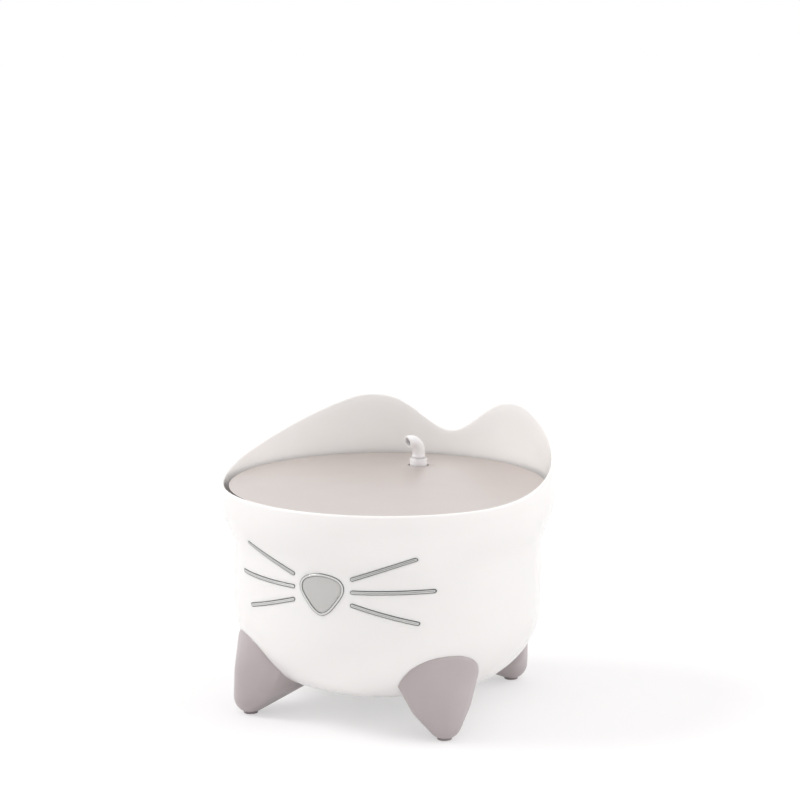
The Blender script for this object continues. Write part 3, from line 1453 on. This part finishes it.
@dataclass
class FlowCap:
    """The cap with the spigot, and the loop that lifts it."""

    centre: Flat = (0.0, 50.0)
    z: float = 136.0
    radius: float = 18.5
    height: float = 5.4
    spigot: float = 5.7
    spigot_height: float = 12.3
    spigot_bore: float = 4.6
    pipe: float = 3.4
    plug: float = 9.3
    ring_radius: float = 11.0
    ring_half: float = 1.9
    pin_z: float = 2.4

    def beside(self, gap: float) -> Matrix:
        """Where the pin's axis lies, at a gap from the cap's edge."""
        return Matrix.Translation((self.radius + gap, self.centre[1], self.z + self.pin_z))

    def build_cap(self) -> None:
        """Turns the cap: rim, sunk ring, cone and spigot, with the seal's groove below."""
        r, h, top, plug, pipe = self.radius, self.height, self.spigot_height, self.plug, self.pipe
        corners = [
            (pipe, -5.6, 0.2), (plug, -5.6, 0.5), (plug, -3.4, 0.2), (7.9, -3.4, 0.2), (7.9, -1.6, 0.2),
            (plug, -1.6, 0.2), (plug, 0.05, 0.2), (r, 0.05, 0.3), (r, h, 1.7), (14.2, h, 0.5),
            (12.8, h - 1.3, 0.8), (9.6, h - 1.4, 1.2), (6.4, h + 0.4, 0.8), (self.spigot, h + 1.6, 0.6),
            (self.spigot, top, 0.4), (self.spigot_bore, top, 0.35), (self.spigot_bore, 2.6, 0.1),
            (pipe, 2.6, 0.1),
        ]  # fmt: skip
        cap = turned("flow_cap_body", corners, 128, self.centre, self.z, closed=True, angle=32)
        pin = turned("pin", drum(1, 0, 6, 0.3), 32, place=self.beside(-1) @ spin(90, "Y"))
        dress(join("flow_cap_body", [cap, pin], 32), "tray", "flow_cap", "bowl_plastic", TRAY_WHITE)

    def build_ring(self) -> None:
        """The loop: a flat band with soft edges that grows out of its barrel."""
        r, half, place = self.ring_radius, self.ring_half, self.beside(0.4)
        section = [(r - 1.5, -half, 0.7), (r + 1.7, -half, 0.9), (r + 1.7, half, 0.9), (r - 1.5, half, 0.7)]
        stand = place @ Matrix.Translation((r + 0.3, r, 0))
        band = turned("band", section, 120, closed=True, angle=40, place=stand)
        tube = [(1.1, 0, 0.1), (2.0, 0, 0.5), (2.0, 11, 0.9), (0.01, 11, 0), (0.01, 5.2, 0), (1.1, 5.2, 0)]
        barrel = turned("barrel", tube, 40, closed=True, steps=4, angle=40, place=place @ spin(90, "Y"))
        dress(join("lift_loop", [band, barrel], 40), "ring", "finger_ring", "bowl_plastic", TRAY_WHITE)

    def build(self) -> None:
        """Builds the cap and its loop."""
        self.build_cap()
        self.build_ring()


# --- Filter -------------------------------------------------------------------------------------


@dataclass
class Filter:
    """The square cushion filter: pressed flange, crowned fleece and four filled pockets."""

    centre: float = -43.0
    z: float = 122.3
    width: float = 86.0
    corner: float = 14.0
    flange: float = 1.2
    border: float = 4.2
    hole: float = 8.0
    hole_rim: float = 1.9
    pocket: float = 35.0
    pocket_round: float = 9.0
    pocket_at: float = 21.3
    pocket_depth: float = 8.0
    notch: float = 18.4
    notch_blend: float = 3.0
    crown: float = 1.8
    fullness: float = 0.7
    edge_slope: float = 9.0
    hole_slope: float = 5.0
    channel: float = 3.2
    channel_depth: float = 0.5
    lumps: float = 0.12
    pocket_lumps: float = 0.1
    fleece_fill: float = 0.4
    pocket_fill: float = 0.8
    sides: int = 192

    def plan(self, half: float, corner: float) -> Row:
        """Polar radii of a rounded square."""
        return reach(lambda x, y: rounded_square(x, y, half, corner) < 0, self.sides)

    def ring_row(self, dist: Value, z: Value, at: Flat = (0, 0)) -> Row:
        """A ring of points round a place on the filter."""
        return ring(dist, self.z + z, self.sides, (at[0], self.centre + at[1]))

    def build_flange(self) -> None:
        """The pressed flange with its welded border and the raised rim of the hole."""
        edge = self.plan(self.width / 2, self.corner)
        t, h = self.flange, self.hole
        border = (
            (8, 0), (0.5, 0), (0.1, 0.2), (0, 0.6), (0.1, t - 0.2), (0.5, t),
            (2.6, t), (3.0, t - 0.25), (3.6, t - 0.25), (4.0, t),
        )  # fmt: skip
        rim = ((2.2, t), (1.8, t + 0.3), (1.5, t + 0.75), (0.9, t + 0.95), (0.3, t + 0.8), (0, t + 0.4))
        rows = [self.ring_row(h, 0.0), self.ring_row(h + 4, 0.0)]
        rows += [self.ring_row(edge - s, z) for s, z in border]
        rows += [self.ring_row(h + s, z) for s, z in rim]
        sheet = Shell().rows(rows, closed=True).build("filter_sheet", 45)
        dress(sheet, "filter", "filter_flange", "filter_plastic", FLANGE_WHITE)

    def build_fleece(self) -> None:
        """The fleece, crowned in four quarters with shallow channels between them."""
        a = around(self.sides)
        edge = self.plan(self.width / 2 - self.border, self.corner - 3)
        inner, base = self.hole + self.hole_rim, self.flange + 0.02
        rows = [self.ring_row(inner, base)]
        for s in np.linspace(0, 1, 26):
            dist = inner + (edge - inner) * s
            rise = np.minimum((edge - dist) / self.edge_slope, (dist - inner) / self.hole_slope)
            off = np.minimum(np.abs(dist * np.cos(a)), np.abs(dist * np.sin(a)))
            quilt = 1 - self.channel_depth * np.exp(-((off / self.channel) ** 2))
            z = base + 0.3 + (self.crown + 0.1) * ease(rise) ** self.fullness * quilt * 0.95
            rows.append(self.ring_row(dist, z))
        rows.append(self.ring_row(edge, base))
        fleece = self.roughen(Shell().rows(rows, closed=True).build("top_fleece_pad", 50), self.lumps)
        dress(fleece, "filter", "filter_fleece", "top_fleece", FLEECE_TOP)

    def roughen(self, obj: Object, amount: float) -> Object:
        """Moves points up and down by a fixed pattern of soft lumps."""
        for v in obj.data.vertices:
            x, y = v.co.x / MM, v.co.y / MM
            wave = math.sin(0.55 * x + 1.3 * math.sin(0.31 * y))
            cross = math.sin(0.62 * y + 1.1 * math.sin(0.27 * x + 2.0))
            v.co.z += MM * amount * (wave + cross) / 2
        return obj

    def pocket_shell(self, sx: int, sy: int) -> Object:
        """One filled pocket that hangs under the flange, notched for the drain's collar."""
        a = around(self.sides)
        at = (sx * self.pocket_at, sy * self.pocket_at)
        toward = at[0] * np.cos(a) + at[1] * np.sin(a)
        off = toward**2 - (at[0] ** 2 + at[1] ** 2 - self.notch**2)
        hit = np.where((off > 0) & (toward < 0), -toward - np.sqrt(np.maximum(off, 0)), 1e3)
        edge = soft_min(self.plan(self.pocket / 2, self.pocket_round), hit, self.notch_blend)
        deep, top, slack = self.pocket_depth, 0.02, 0.22
        drop = (
            (0.6, top), (0.3, -0.4), (0, -1.5), (0.3, -3.4), (0.9, -5.2), (2, -6.7), (3.8, -7.5),
            (6, -7.75),
        )  # fmt: skip
        rows = [self.ring_row(0, top, at), *[self.ring_row(edge - s, z, at) for s, z in drop]]
        for share in (0.72, 0.48, 0.24):
            rows.append(self.ring_row((edge - drop[-1][0]) * share * 0.95, -deep + slack * share, at))
        rows.append(self.ring_row(0, -deep + 0.02, at))
        return Shell().rows(rows).build("pocket", 50)

    def build_pockets(self) -> None:
        """Grey carbon on one side, amber resin on the other."""
        for sx, name, slot, look in (
            (-1, "carbon_pockets", "carbon_fleece", CARBON_FLEECE),
            (1, "resin_pockets", "resin_fleece", RESIN_FLEECE),
        ):
            pair = join("filled_" + name, [self.pocket_shell(sx, sy) for sy in (-1, 1)], 50)
            self.roughen(pair, self.pocket_lumps)
            dress(pair, "filter", name, slot, look)

    def build(self) -> None:
        """Builds the filter."""
        self.build_flange()
        self.build_fleece()
        self.build_pockets()


# --- Steel top ----------------------------------------------------------------------------------


@dataclass
class SteelTop:
    """The round drinking top: a shallow crown with a drawn skirt and a hole for the spout."""

    radius: float = 100.9
    lip_z: float = 136.3
    skirt: float = 5.5
    crown: float = 3.0
    sheet: float = 0.8
    bend: float = 1.4
    bend_inside: float = 0.6
    hole: float = 7.0
    hole_y: float = 50.0
    relief_height: float = 3.0
    relief_half: float = 34.0
    drawn_slope: float = 0.55
    drawn_radius: float = 90.0
    sides: int = 288

    def build(self) -> None:
        """Lofts the sheet from the hole to the skirt's edge and back inside."""
        a = around(self.sides)
        shoulder, flat = self.lip_z + self.skirt, self.radius - self.bend

        def ring_at(share: float, drop: float, shrink: float = 0.0) -> Row:
            """A ring between the hole and the edge, on the crown or below it."""
            r = self.hole + shrink + (flat - self.hole - shrink) * share
            x, y = r * np.cos(a), self.hole_y * (1 - share) + r * np.sin(a)
            z = shoulder + self.crown * (1 - (x**2 + y**2) / self.radius**2) - drop
            return np.column_stack([x, y, z])

        def round_ring(inset: float, z: Value) -> Row:
            """A ring round the bowl's axis, inside the top's edge."""
            return ring(self.radius - inset, z, self.sides)

        away = np.abs(self.radius * np.cos(a))
        relief = self.relief_height * ease(1 - away / self.relief_half)
        foot = self.lip_z + np.where(np.sin(a) < 0, relief, 0)
        shares = np.linspace(0, 1, 28) ** 0.8
        turns = np.radians((18, 36, 54, 72, 90))
        big, small = self.bend, self.bend_inside
        rows = [ring_at(s, 0) for s in shares]
        for t in turns:
            rows.append(round_ring(big * (1 - math.sin(t)), shoulder + 0.083 - big * (1 - math.cos(t))))
        rows += [round_ring(0, shoulder - big + (foot - shoulder + big + 0.3) * s) for s in (0.5, 1.0)]
        edge = ((0.12, 0.08), (0.4, 0), (0.68, 0.08), (self.sheet, 0.3))
        rows += [round_ring(inset, foot + up) for inset, up in edge]
        rows.append(round_ring(self.sheet, shoulder - big - 0.2))
        for t in turns[::-1]:
            z = shoulder - 0.75 - small * (1 - math.cos(t))
            rows.append(round_ring(big + 0.1 - small * math.sin(t), z))
        rows += [ring_at(s, self.sheet) for s in shares[::-1][1:]]
        rows += [ring_at(0, self.sheet - 0.12, -0.25), ring_at(0, 0.12, -0.25)]
        top = Shell().rows(rows, closed=True).build("steel_sheet", 40)
        coat(top, STEEL_SATIN, STEEL_DRAWN)
        for face in top.data.polygons:
            steep = abs(face.normal.z) < self.drawn_slope
            face.material_index = int(steep and face.center.xy.length > self.drawn_radius * MM)
        dress(top, "top", "steel_top", "top_steel")


# --- Repeated pieces ----------------------------------------------------------------------------


def repeat_tree() -> bpy.types.GeometryNodeTree:
    """A node tree that sets a piece on every point, each turned a little by a fixed seed."""
    known = bpy.data.node_groups.get("repeat_piece")
    if known:
        return known
    tree = bpy.data.node_groups.new("repeat_piece", "GeometryNodeTree")
    kinds = {"Places": "Geometry", "Piece": "Object", "Finish": "Material"}
    kinds |= {"Size": "Float", "Spin": "Float", "Seed": "Int"}
    for name, kind in kinds.items():
        tree.interface.new_socket(name, in_out="INPUT", socket_type="NodeSocket" + kind)
    tree.interface.new_socket("Geometry", in_out="OUTPUT", socket_type="NodeSocketGeometry")
    given = node(tree, "NodeGroupInput").outputs
    points = node(tree, "GeometryNodeMeshToPoints", {"Mesh": given["Places"]}).outputs[0]
    piece = node(tree, "GeometryNodeObjectInfo", {"Object": given["Piece"]}, transform_space="ORIGINAL")
    turn = node(tree, "FunctionNodeRandomValue", {"Seed": given["Seed"]}, data_type="FLOAT")
    tree.links.new(given["Spin"], turn.inputs[3])
    rotation = node(tree, "ShaderNodeCombineXYZ", {"Z": turn.outputs[1]}).outputs[0]
    wanted = {"Points": points, "Instance": piece.outputs["Geometry"]}
    wanted |= {"Rotation": rotation, "Scale": given["Size"]}
    set_on = node(tree, "GeometryNodeInstanceOnPoints", wanted)
    real = node(tree, "GeometryNodeRealizeInstances", {"Geometry": set_on.outputs[0]}).outputs[0]
    dressed = node(tree, "GeometryNodeSetMaterial", {"Geometry": real, "Material": given["Finish"]})
    node(tree, "NodeGroupOutput", {"Geometry": dressed.outputs[0]})
    return tree


def repeated(name: str, places: Row, piece: Object, finish: Finish, turn: float = 0.0) -> Object:
    """Sets a piece on every place by nodes and gives the plain mesh.

    Args:
        name: the object's name.
        places: one point for each place.
        piece: what is repeated; it is used up.
        finish: the finish of the result.
        turn: the largest turn of a piece, in radians.

    Returns:
        The object with all the pieces.
    """
    mesh = bpy.data.meshes.new(name)
    mesh.from_pydata((places * MM).tolist(), [], [])
    obj = linked(name, mesh)
    mod = obj.modifiers.new("repeat", "NODES")
    mod.node_group = repeat_tree()
    values = {"Piece": piece, "Finish": finish.make(), "Size": 1.0, "Spin": turn, "Seed": 7}
    for item in mod.node_group.interface.items_tree:
        if item.name in values:
            mod[item.identifier] = values[item.name]
    settle(obj)
    bpy.data.objects.remove(piece)
    return shade(obj, 40)


# --- Spout and tube -----------------------------------------------------------------------------


@dataclass
class Spout:
    """The turning elbow and its ribbed sleeve, and the riser tube below."""

    y: float = 50.0
    base: float = 149.2
    radius: float = 4.0
    bore: float = 2.9
    stem: float = 3.2
    collar: float = 0.4
    rise: float = 4.5
    bend: float = 6.4
    angle: float = 104.0
    turn: float = -126.0
    sleeve_z: float = 138.9
    sleeve: float = 9.4
    ribs: int = 5
    tube_z: float = 63.8
    tube_length: float = 40.0
    tube_radius: float = 5.5
    tube_wall: float = 1.2

    def build_elbow(self) -> None:
        """Sweeps the elbow's wall along its line and closes it with soft ends."""
        r, stem, low, wide = self.radius, self.stem, -self.sleeve, self.radius + self.collar
        foot = (
            (low, stem - 0.3), (low + 0.3, stem), (-0.05, stem), (0, wide - 0.15), (0.25, wide),
            (1.1, wide), (1.4, r + 0.1), (1.6, r), (self.rise * 0.7, r),
        )  # fmt: skip
        stations = [(0.0, z, 0.0, radius) for z, radius in foot]
        for t in np.radians(np.linspace(0, self.angle, 27)):
            stations.append((self.bend * (1 - math.cos(t)), self.rise + self.bend * math.sin(t), t, r))
        x, z, t, _ = stations[-1]
        for push, grow in ((0.15, -0.06), (0.3, -0.3), (0.32, -0.55)):
            stations.append((x + math.sin(t) * push, z + math.cos(t) * push, t, r + grow))
        inside = [(x, z, t, self.bore if k > 3 else stem - 1) for k, (x, z, t, _) in enumerate(stations)]
        inside[-1] = (*inside[-1][:3], self.bore + 0.35)
        a = around(48)
        rows = []
        for x, z, t, radius in stations + inside[::-1]:
            across = np.outer(np.cos(a) * radius, (math.cos(t), 0, -math.sin(t)))
            rows.append(across + np.outer(np.sin(a) * radius, (0, 1, 0)) + (x, 0, z))
        place = Matrix.Translation((0, self.y, self.base)) @ spin(self.turn)
        elbow = Shell().rows(rows, closed=True).moved(place).build("spout_nozzle", 40)
        dress(elbow, "spout", "spout_elbow", "bowl_plastic", TRAY_WHITE)

    def build_sleeve(self) -> None:
        """The soft sleeve; its ribs are one turned rib repeated up the sleeve by nodes."""
        r, top, rim, at = self.radius, self.sleeve, 4.35, (0, self.y)
        core = [
            (3.3, 0, 0.15), (r, 0, 0.25), (r, top + 0.1, 0), (rim, top + 0.15, 0.2), (rim, top + 0.65, 0.2),
            (3.3, top + 0.7, 0.15),
        ]  # fmt: skip
        body = turned("sleeve", core, 64, at, self.sleeve_z, closed=True, steps=4, angle=40)
        bead = [(3.7, 0.0, 0), (4.48, 0.0, 0.3), (4.48, 0.9, 0.3), (3.7, 0.9, 0)]
        rib = turned("rib", bead, 64, closed=True, steps=4, angle=40)
        rises = [self.sleeve_z + k * (self.sleeve - 1) / (self.ribs - 1) for k in range(self.ribs)]
        ribs = repeated("sleeve_ribs", np.array([(0, self.y, z) for z in rises]), rib, SLEEVE_SILICONE)
        sleeve = join("soft_sleeve", [body, ribs], 40)
        dress(sleeve, "spout_seat", "spout_sleeve", "tube_silicone", SLEEVE_SILICONE)

    def build_tube(self) -> None:
        """The riser tube, cut square with a trace of round at its ends."""
        r, inner = self.tube_radius, self.tube_radius - self.tube_wall
        low, middle, high = (self.tube_z + self.tube_length * share for share in (0, 0.5, 1))
        outline = [
            (inner, low, 0.2), (r, low, 0.25), (r, middle, 0), (r, high, 0.25), (inner, high, 0.2),
            (inner, middle, 0),
        ]  # fmt: skip
        tube = turned("riser", outline, 64, (0, self.y), closed=True, steps=3, angle=40)
        dress(tube, "tube", "riser_tube", "tube_silicone", TUBE_SILICONE)

    def build(self) -> None:
        """Builds the spout and the riser tube."""
        self.build_elbow()
        self.build_sleeve()
        self.build_tube()


# --- Pump and small parts -----------------------------------------------------------------------


@dataclass
class Pump:
    """The little pump: casing, cover, outlet, gland, lamp and the bare oval on its top."""

    y: float = 50.0
    z: float = 27.8
    turn: float = -38.0
    width: float = 27.0
    height: float = 30.0
    lamp_end: float = -27.7
    cover_end: float = 19.3
    seam: float = 9.3
    edge: float = 2.6
    soft: float = 0.3
    outlet: float = 4.2
    outlet_bore: float = 2.9
    outlet_height: float = 17.0
    chamber: float = 10.4
    rotor: float = 6.2
    lamp_z: float = 8.4
    lamp_radius: float = 2.2
    gland_z: float = 20.4
    gland: float = 3.9
    gland_groove: float = 3.65
    oval: Flat = (5.6, 10.4)

    @property
    def place(self) -> Matrix:
        """Where the pump's own frame lies in the bowl."""
        return Matrix.Translation((0, self.y, self.z)) @ spin(self.turn)

    @property
    def along(self) -> Matrix:
        """The pump's middle axis, from the lamp's end to the cover's end."""
        return Matrix.Translation((0, 0, self.height / 2)) @ spin(-90, "X")

    def block(self, name: str, ends: Flat, soft: Flat) -> Object:
        """A length of the casing, its ends rounded by their own radii."""
        w, h = self.width / 2, self.height

        def outline(inset: float, y: float) -> Row:
            """The casing's cross-section drawn in by an inset."""
            least, x, low, high = max(self.edge - inset, 0.3), w - inset, inset, h - inset
            corners = [(-x, low, least), (x, low, least), (x, high, least), (-x, high, least)]
            return np.array([(x, y, z) for x, z in filleted(corners, steps=8)])

        return soft_block(name, outline, ends, soft, (0, 20, 40, 60, 75, 90), 30)

    def set_down(self, obj: Object, cad: str) -> None:
        """Moves a piece from the pump's own frame to its place and dresses it."""
        place = self.place
        place.translation *= MM
        obj.data.transform(place)
        dress(obj, "pump", cad, "pump_plastic", PUMP_WHITE)

    def build_casing(self) -> None:
        """The casing with its outlet, lamp seat, gland seat and the raised outline on its top."""
        body = self.block("casing", (self.lamp_end, self.seam), (self.edge, self.soft))
        h, r, bore, end = self.height, self.outlet, self.outlet_bore, self.lamp_end
        tip = h + self.outlet_height
        stub = [
            (0, h - 4, 0), (r + 2.6, h - 4, 0), (r + 1.6, h, 0.8), (r + 0.9, h + 1.0, 0.5),
            (r + 0.9, h + 2, 0.4), (r, h + 2.1, 0.2), (r, tip, 0.5), (0, tip, 0),
        ]  # fmt: skip
        drill = [
            (0, h / 2, 0), (bore, h / 2, 0), (bore, tip - 0.4, 0), (bore + 0.4, tip + 0.1, 0),
            (bore + 0.4, h + 30, 0), (0, h + 30, 0),
        ]  # fmt: skip
        tools = [(stub, Carve.JOIN, None), (drill, Carve.CUT, None)]
        tools.append((drum(self.chamber, -5.5, self.seam + 2), Carve.CUT, self.along))
        tools.append((drum(self.rotor, end + 5, 0), Carve.CUT, self.along))
        for z, radius in ((self.lamp_z, 2.3), (self.gland_z, 3.0)):
            seat = Matrix.Translation((0, 0, z)) @ spin(-90, "X")
            tools.append((drum(radius, end - 3, end + 3), Carve.CUT, seat))
        for corners, how, place in tools:
            carve(body, turned("tool", corners, 64, place=place), how, 30)
        self.set_down(join("pump_casing", [body, self.raised_oval()], 32), "pump_housing")

    def raised_oval(self) -> Object:
        """A bare raised outline on the top."""
        sides = 72
        a = around(sides)
        section = [(-0.45, -0.3), (-0.4, 0.12), (-0.2, 0.2), (0.2, 0.2), (0.4, 0.12), (0.45, -0.3)]
        rows = []
        for s, z in section:
            x, y = (self.oval[0] + s) * np.cos(a), self.lamp_end * 0.55 + (self.oval[1] + s) * np.sin(a)
            rows.append(np.column_stack([x, y, np.full(sides, self.height + z)]))
        return Shell().rows(rows, closed=True).build("oval", 50)

    def build_cover(self) -> None:
        """The push-on intake cover with its slots and thumb grooves."""
        seam, end, middle, side = self.seam, self.cover_end, self.height / 2, self.width / 2
        cover = self.block("cover", (seam + 0.15, end), (self.soft, self.edge))
        room = drum(self.chamber, seam - 2, end - 1.8, 0.6)
        carve(cover, turned("room", room, 64, place=self.along), Carve.CUT, 30)
        for s in (-1, 1):
            for i in (0, 1):
                x, half = s * (4 + 3 * i), 7 - i
                low, high = (x - 0.8, end - 3, middle - half), (x + 0.8, end + 2, middle + half)
                carve(cover, rounded_box("slot", low, high, 0.3, 0.6), Carve.CUT, 30)
        for s in (-1, 1):
            for k in range(3):
                x, z = s * side, middle - 4 + 4 * k
                low, high = (x - 0.5, seam + 2.5, z - 0.6), (x + 0.5, end - 2.5, z + 0.6)
                carve(cover, rounded_box("groove", low, high, 0.3, 0.3), Carve.CUT, 30)
        boss = [(1.05, seam - 2.8, 0.2), (2.4, seam - 2.8, 0.3), (2.4, end - 1, 0), (1.05, end - 1, 0)]
        stud = turned("boss", boss, 40, closed=True, place=self.along)
        self.set_down(join("intake_cover", [cover, stud], 32), "pump_cover")

    def build_gland(self) -> None:
        """The gland that the lead leaves by, with two shallow grip rings."""
        r, low = self.gland, self.gland_groove
        corners = [
            (1.7, -2.9, 0), (2.9, -2.9, 0), (2.9, 0, 0), (r, 0, 0.2), (r, 2.2, 0.2), (low, 2.5, 0.1),
            (low, 3.1, 0.1), (r, 3.4, 0.1), (r, 4.6, 0.1), (low, 4.9, 0.1), (low, 5.5, 0.1),
            (r, 5.8, 0.1), (r, 7.3, 0.5), (3.1, 9.0, 0.5), (1.7, 9.0, 0.2),
        ]  # fmt: skip
        place = self.place @ Matrix.Translation((0, self.lamp_end, self.gland_z)) @ spin(90, "X")
        gland = turned("lead_gland", corners, 64, closed=True, angle=32, place=place)
        dress(gland, "pump", "cord_gland", "pump_plastic", PUMP_WHITE)

    def build_lamp(self) -> None:
        """The lamp's domed red lens."""
        r, base = self.lamp_radius, 3.0
        dome = [(r * math.cos(t), base + r * math.sin(t), 0) for t in np.radians((15, 30, 45, 60, 75))]
        corners = [(0, 0, 0), (r, 0, 0), (r, base, 0), *dome, (0, base + r, 0)]
        place = self.place @ Matrix.Translation((0, self.lamp_end + 2.9, self.lamp_z)) @ spin(90, "X")
        lens = turned("lamp_dome", corners, 48, angle=40, place=place)
        dress(lens, "pump", "lamp_lens", "lamp_plastic", LAMP_RED)

    def build(self) -> None:
        """Builds the pump and gives the pieces inside their finishes."""
        self.build_casing()
        self.build_cover()
        self.build_gland()
        self.build_lamp()
        STEEL_PLAIN.on_node("pump_shaft")
        ROTOR_BLACK.on_node("impeller")


@dataclass
class Fasteners:
    """The rubber pads and the screws under the feet, and the pads under the pump."""

    feet: Feet = field(default_factory=Feet)
    pump: Pump = field(default_factory=Pump)
    cups: tuple[Flat, ...] = ((-7.5, -21.7), (7.5, -21.7), (-7.5, 4.3), (7.5, 4.3))
    slot_half: float = 1.8
    slot_narrow: float = 0.4
    screw_turn: float = 1.4

    def foot_places(self, out: float) -> Row:
        """One point for each foot at a distance from the bowl's axis."""
        front, rear = self.feet.front_angle, self.feet.rear_angle
        angles = np.radians([turn - 90 for turn in (-front, front, -rear, rear)])
        return np.array([(out * math.cos(a), out * math.sin(a), 0.0) for a in angles])

    def build_pads(self) -> None:
        """Rubber buttons with a worn, rounded face and a shallow dimple."""
        r = self.feet.pad_radius
        outline = [(0, 0.12, 0), (2.2, 0.12, 0.4), (2.8, 0, 0.3), (r, 0, 0.35), (r, 1.6, 0.1), (0, 1.6, 0)]
        pad = turned("pad", outline, 48, angle=40)
        pads = repeated("foot_buttons", self.foot_places(self.feet.toe), pad, PAD_RUBBER)
        dress(pads, "bowl", "foot_pads", "pad_rubber")

    def build_screws(self) -> None:
        """Pan-head screws with a cross slot, each stopped at its own turn."""
        outline = [
            (0, -2, 0), (2.85, -2, 0.8), (2.85, 0, 0.2), (1.5, 0.05, 0.1), (1.5, 8.4, 0), (0.6, 9, 0),
            (0, 9, 0),
        ]  # fmt: skip
        seat = self.feet.screw_seat
        screw = turned("screw", outline, 48, lift=seat, angle=30)
        for x, y in ((self.slot_half, self.slot_narrow), (self.slot_narrow, self.slot_half)):
            slot = rounded_box("slot", (-x, -y, seat - 2.5), (x, y, seat - 0.9), 0.1, 0.05)
            carve(screw, slot, Carve.CUT)
        places = self.foot_places(self.feet.screw_at)
        screws = repeated("foot_fixings", places, screw, STEEL_PLAIN, self.screw_turn)
        dress(screws, "bowl", "foot_screws", "screw_steel")

    def build_cups(self) -> None:
        """Four small cups of rubber that hold the pump off its table."""
        outline = [
            (0, -1.1, 0), (1.6, -1.2, 0.5), (2.4, -1.5, 0.3), (3, -1.5, 0.4), (3, 0.9, 0.1), (0, 0.9, 0),
        ]  # fmt: skip
        pad = turned("cup", outline, 40, angle=40)
        places = placed(np.array([(x, y, 0.0) for x, y in self.cups]), self.pump.place)
        dress(repeated("pump_cups", places, pad, PAD_RUBBER), "pump", "pump_pads", "pad_rubber")

    def build(self) -> None:
        """Builds all the small parts."""
        self.build_pads()
        self.build_screws()
        self.build_cups()


def main() -> None:
    """Builds the fountain from the cords to the pump and reports each part."""
    studio = Studio()
    studio.aim()
    for part in (Cords, Bowl, Face, Feet, Fasteners, Tray, FlowCap, Filter, SteelTop, Spout, Pump):
        part().build()
        LOG.info("%s built", part.__name__)
    studio.light()
    SEAL_RUBBER.on_node("cord_grommet")
    SEAL_RUBBER.on_node("cap_seal")
    CORD_WHITE.on_node("usb_plug")
    STEEL_PLAIN.on_node("usb_shell")


if __name__ == "__main__":
    logging.basicConfig(level=logging.INFO, format="%(name)s: %(message)s")
    main()
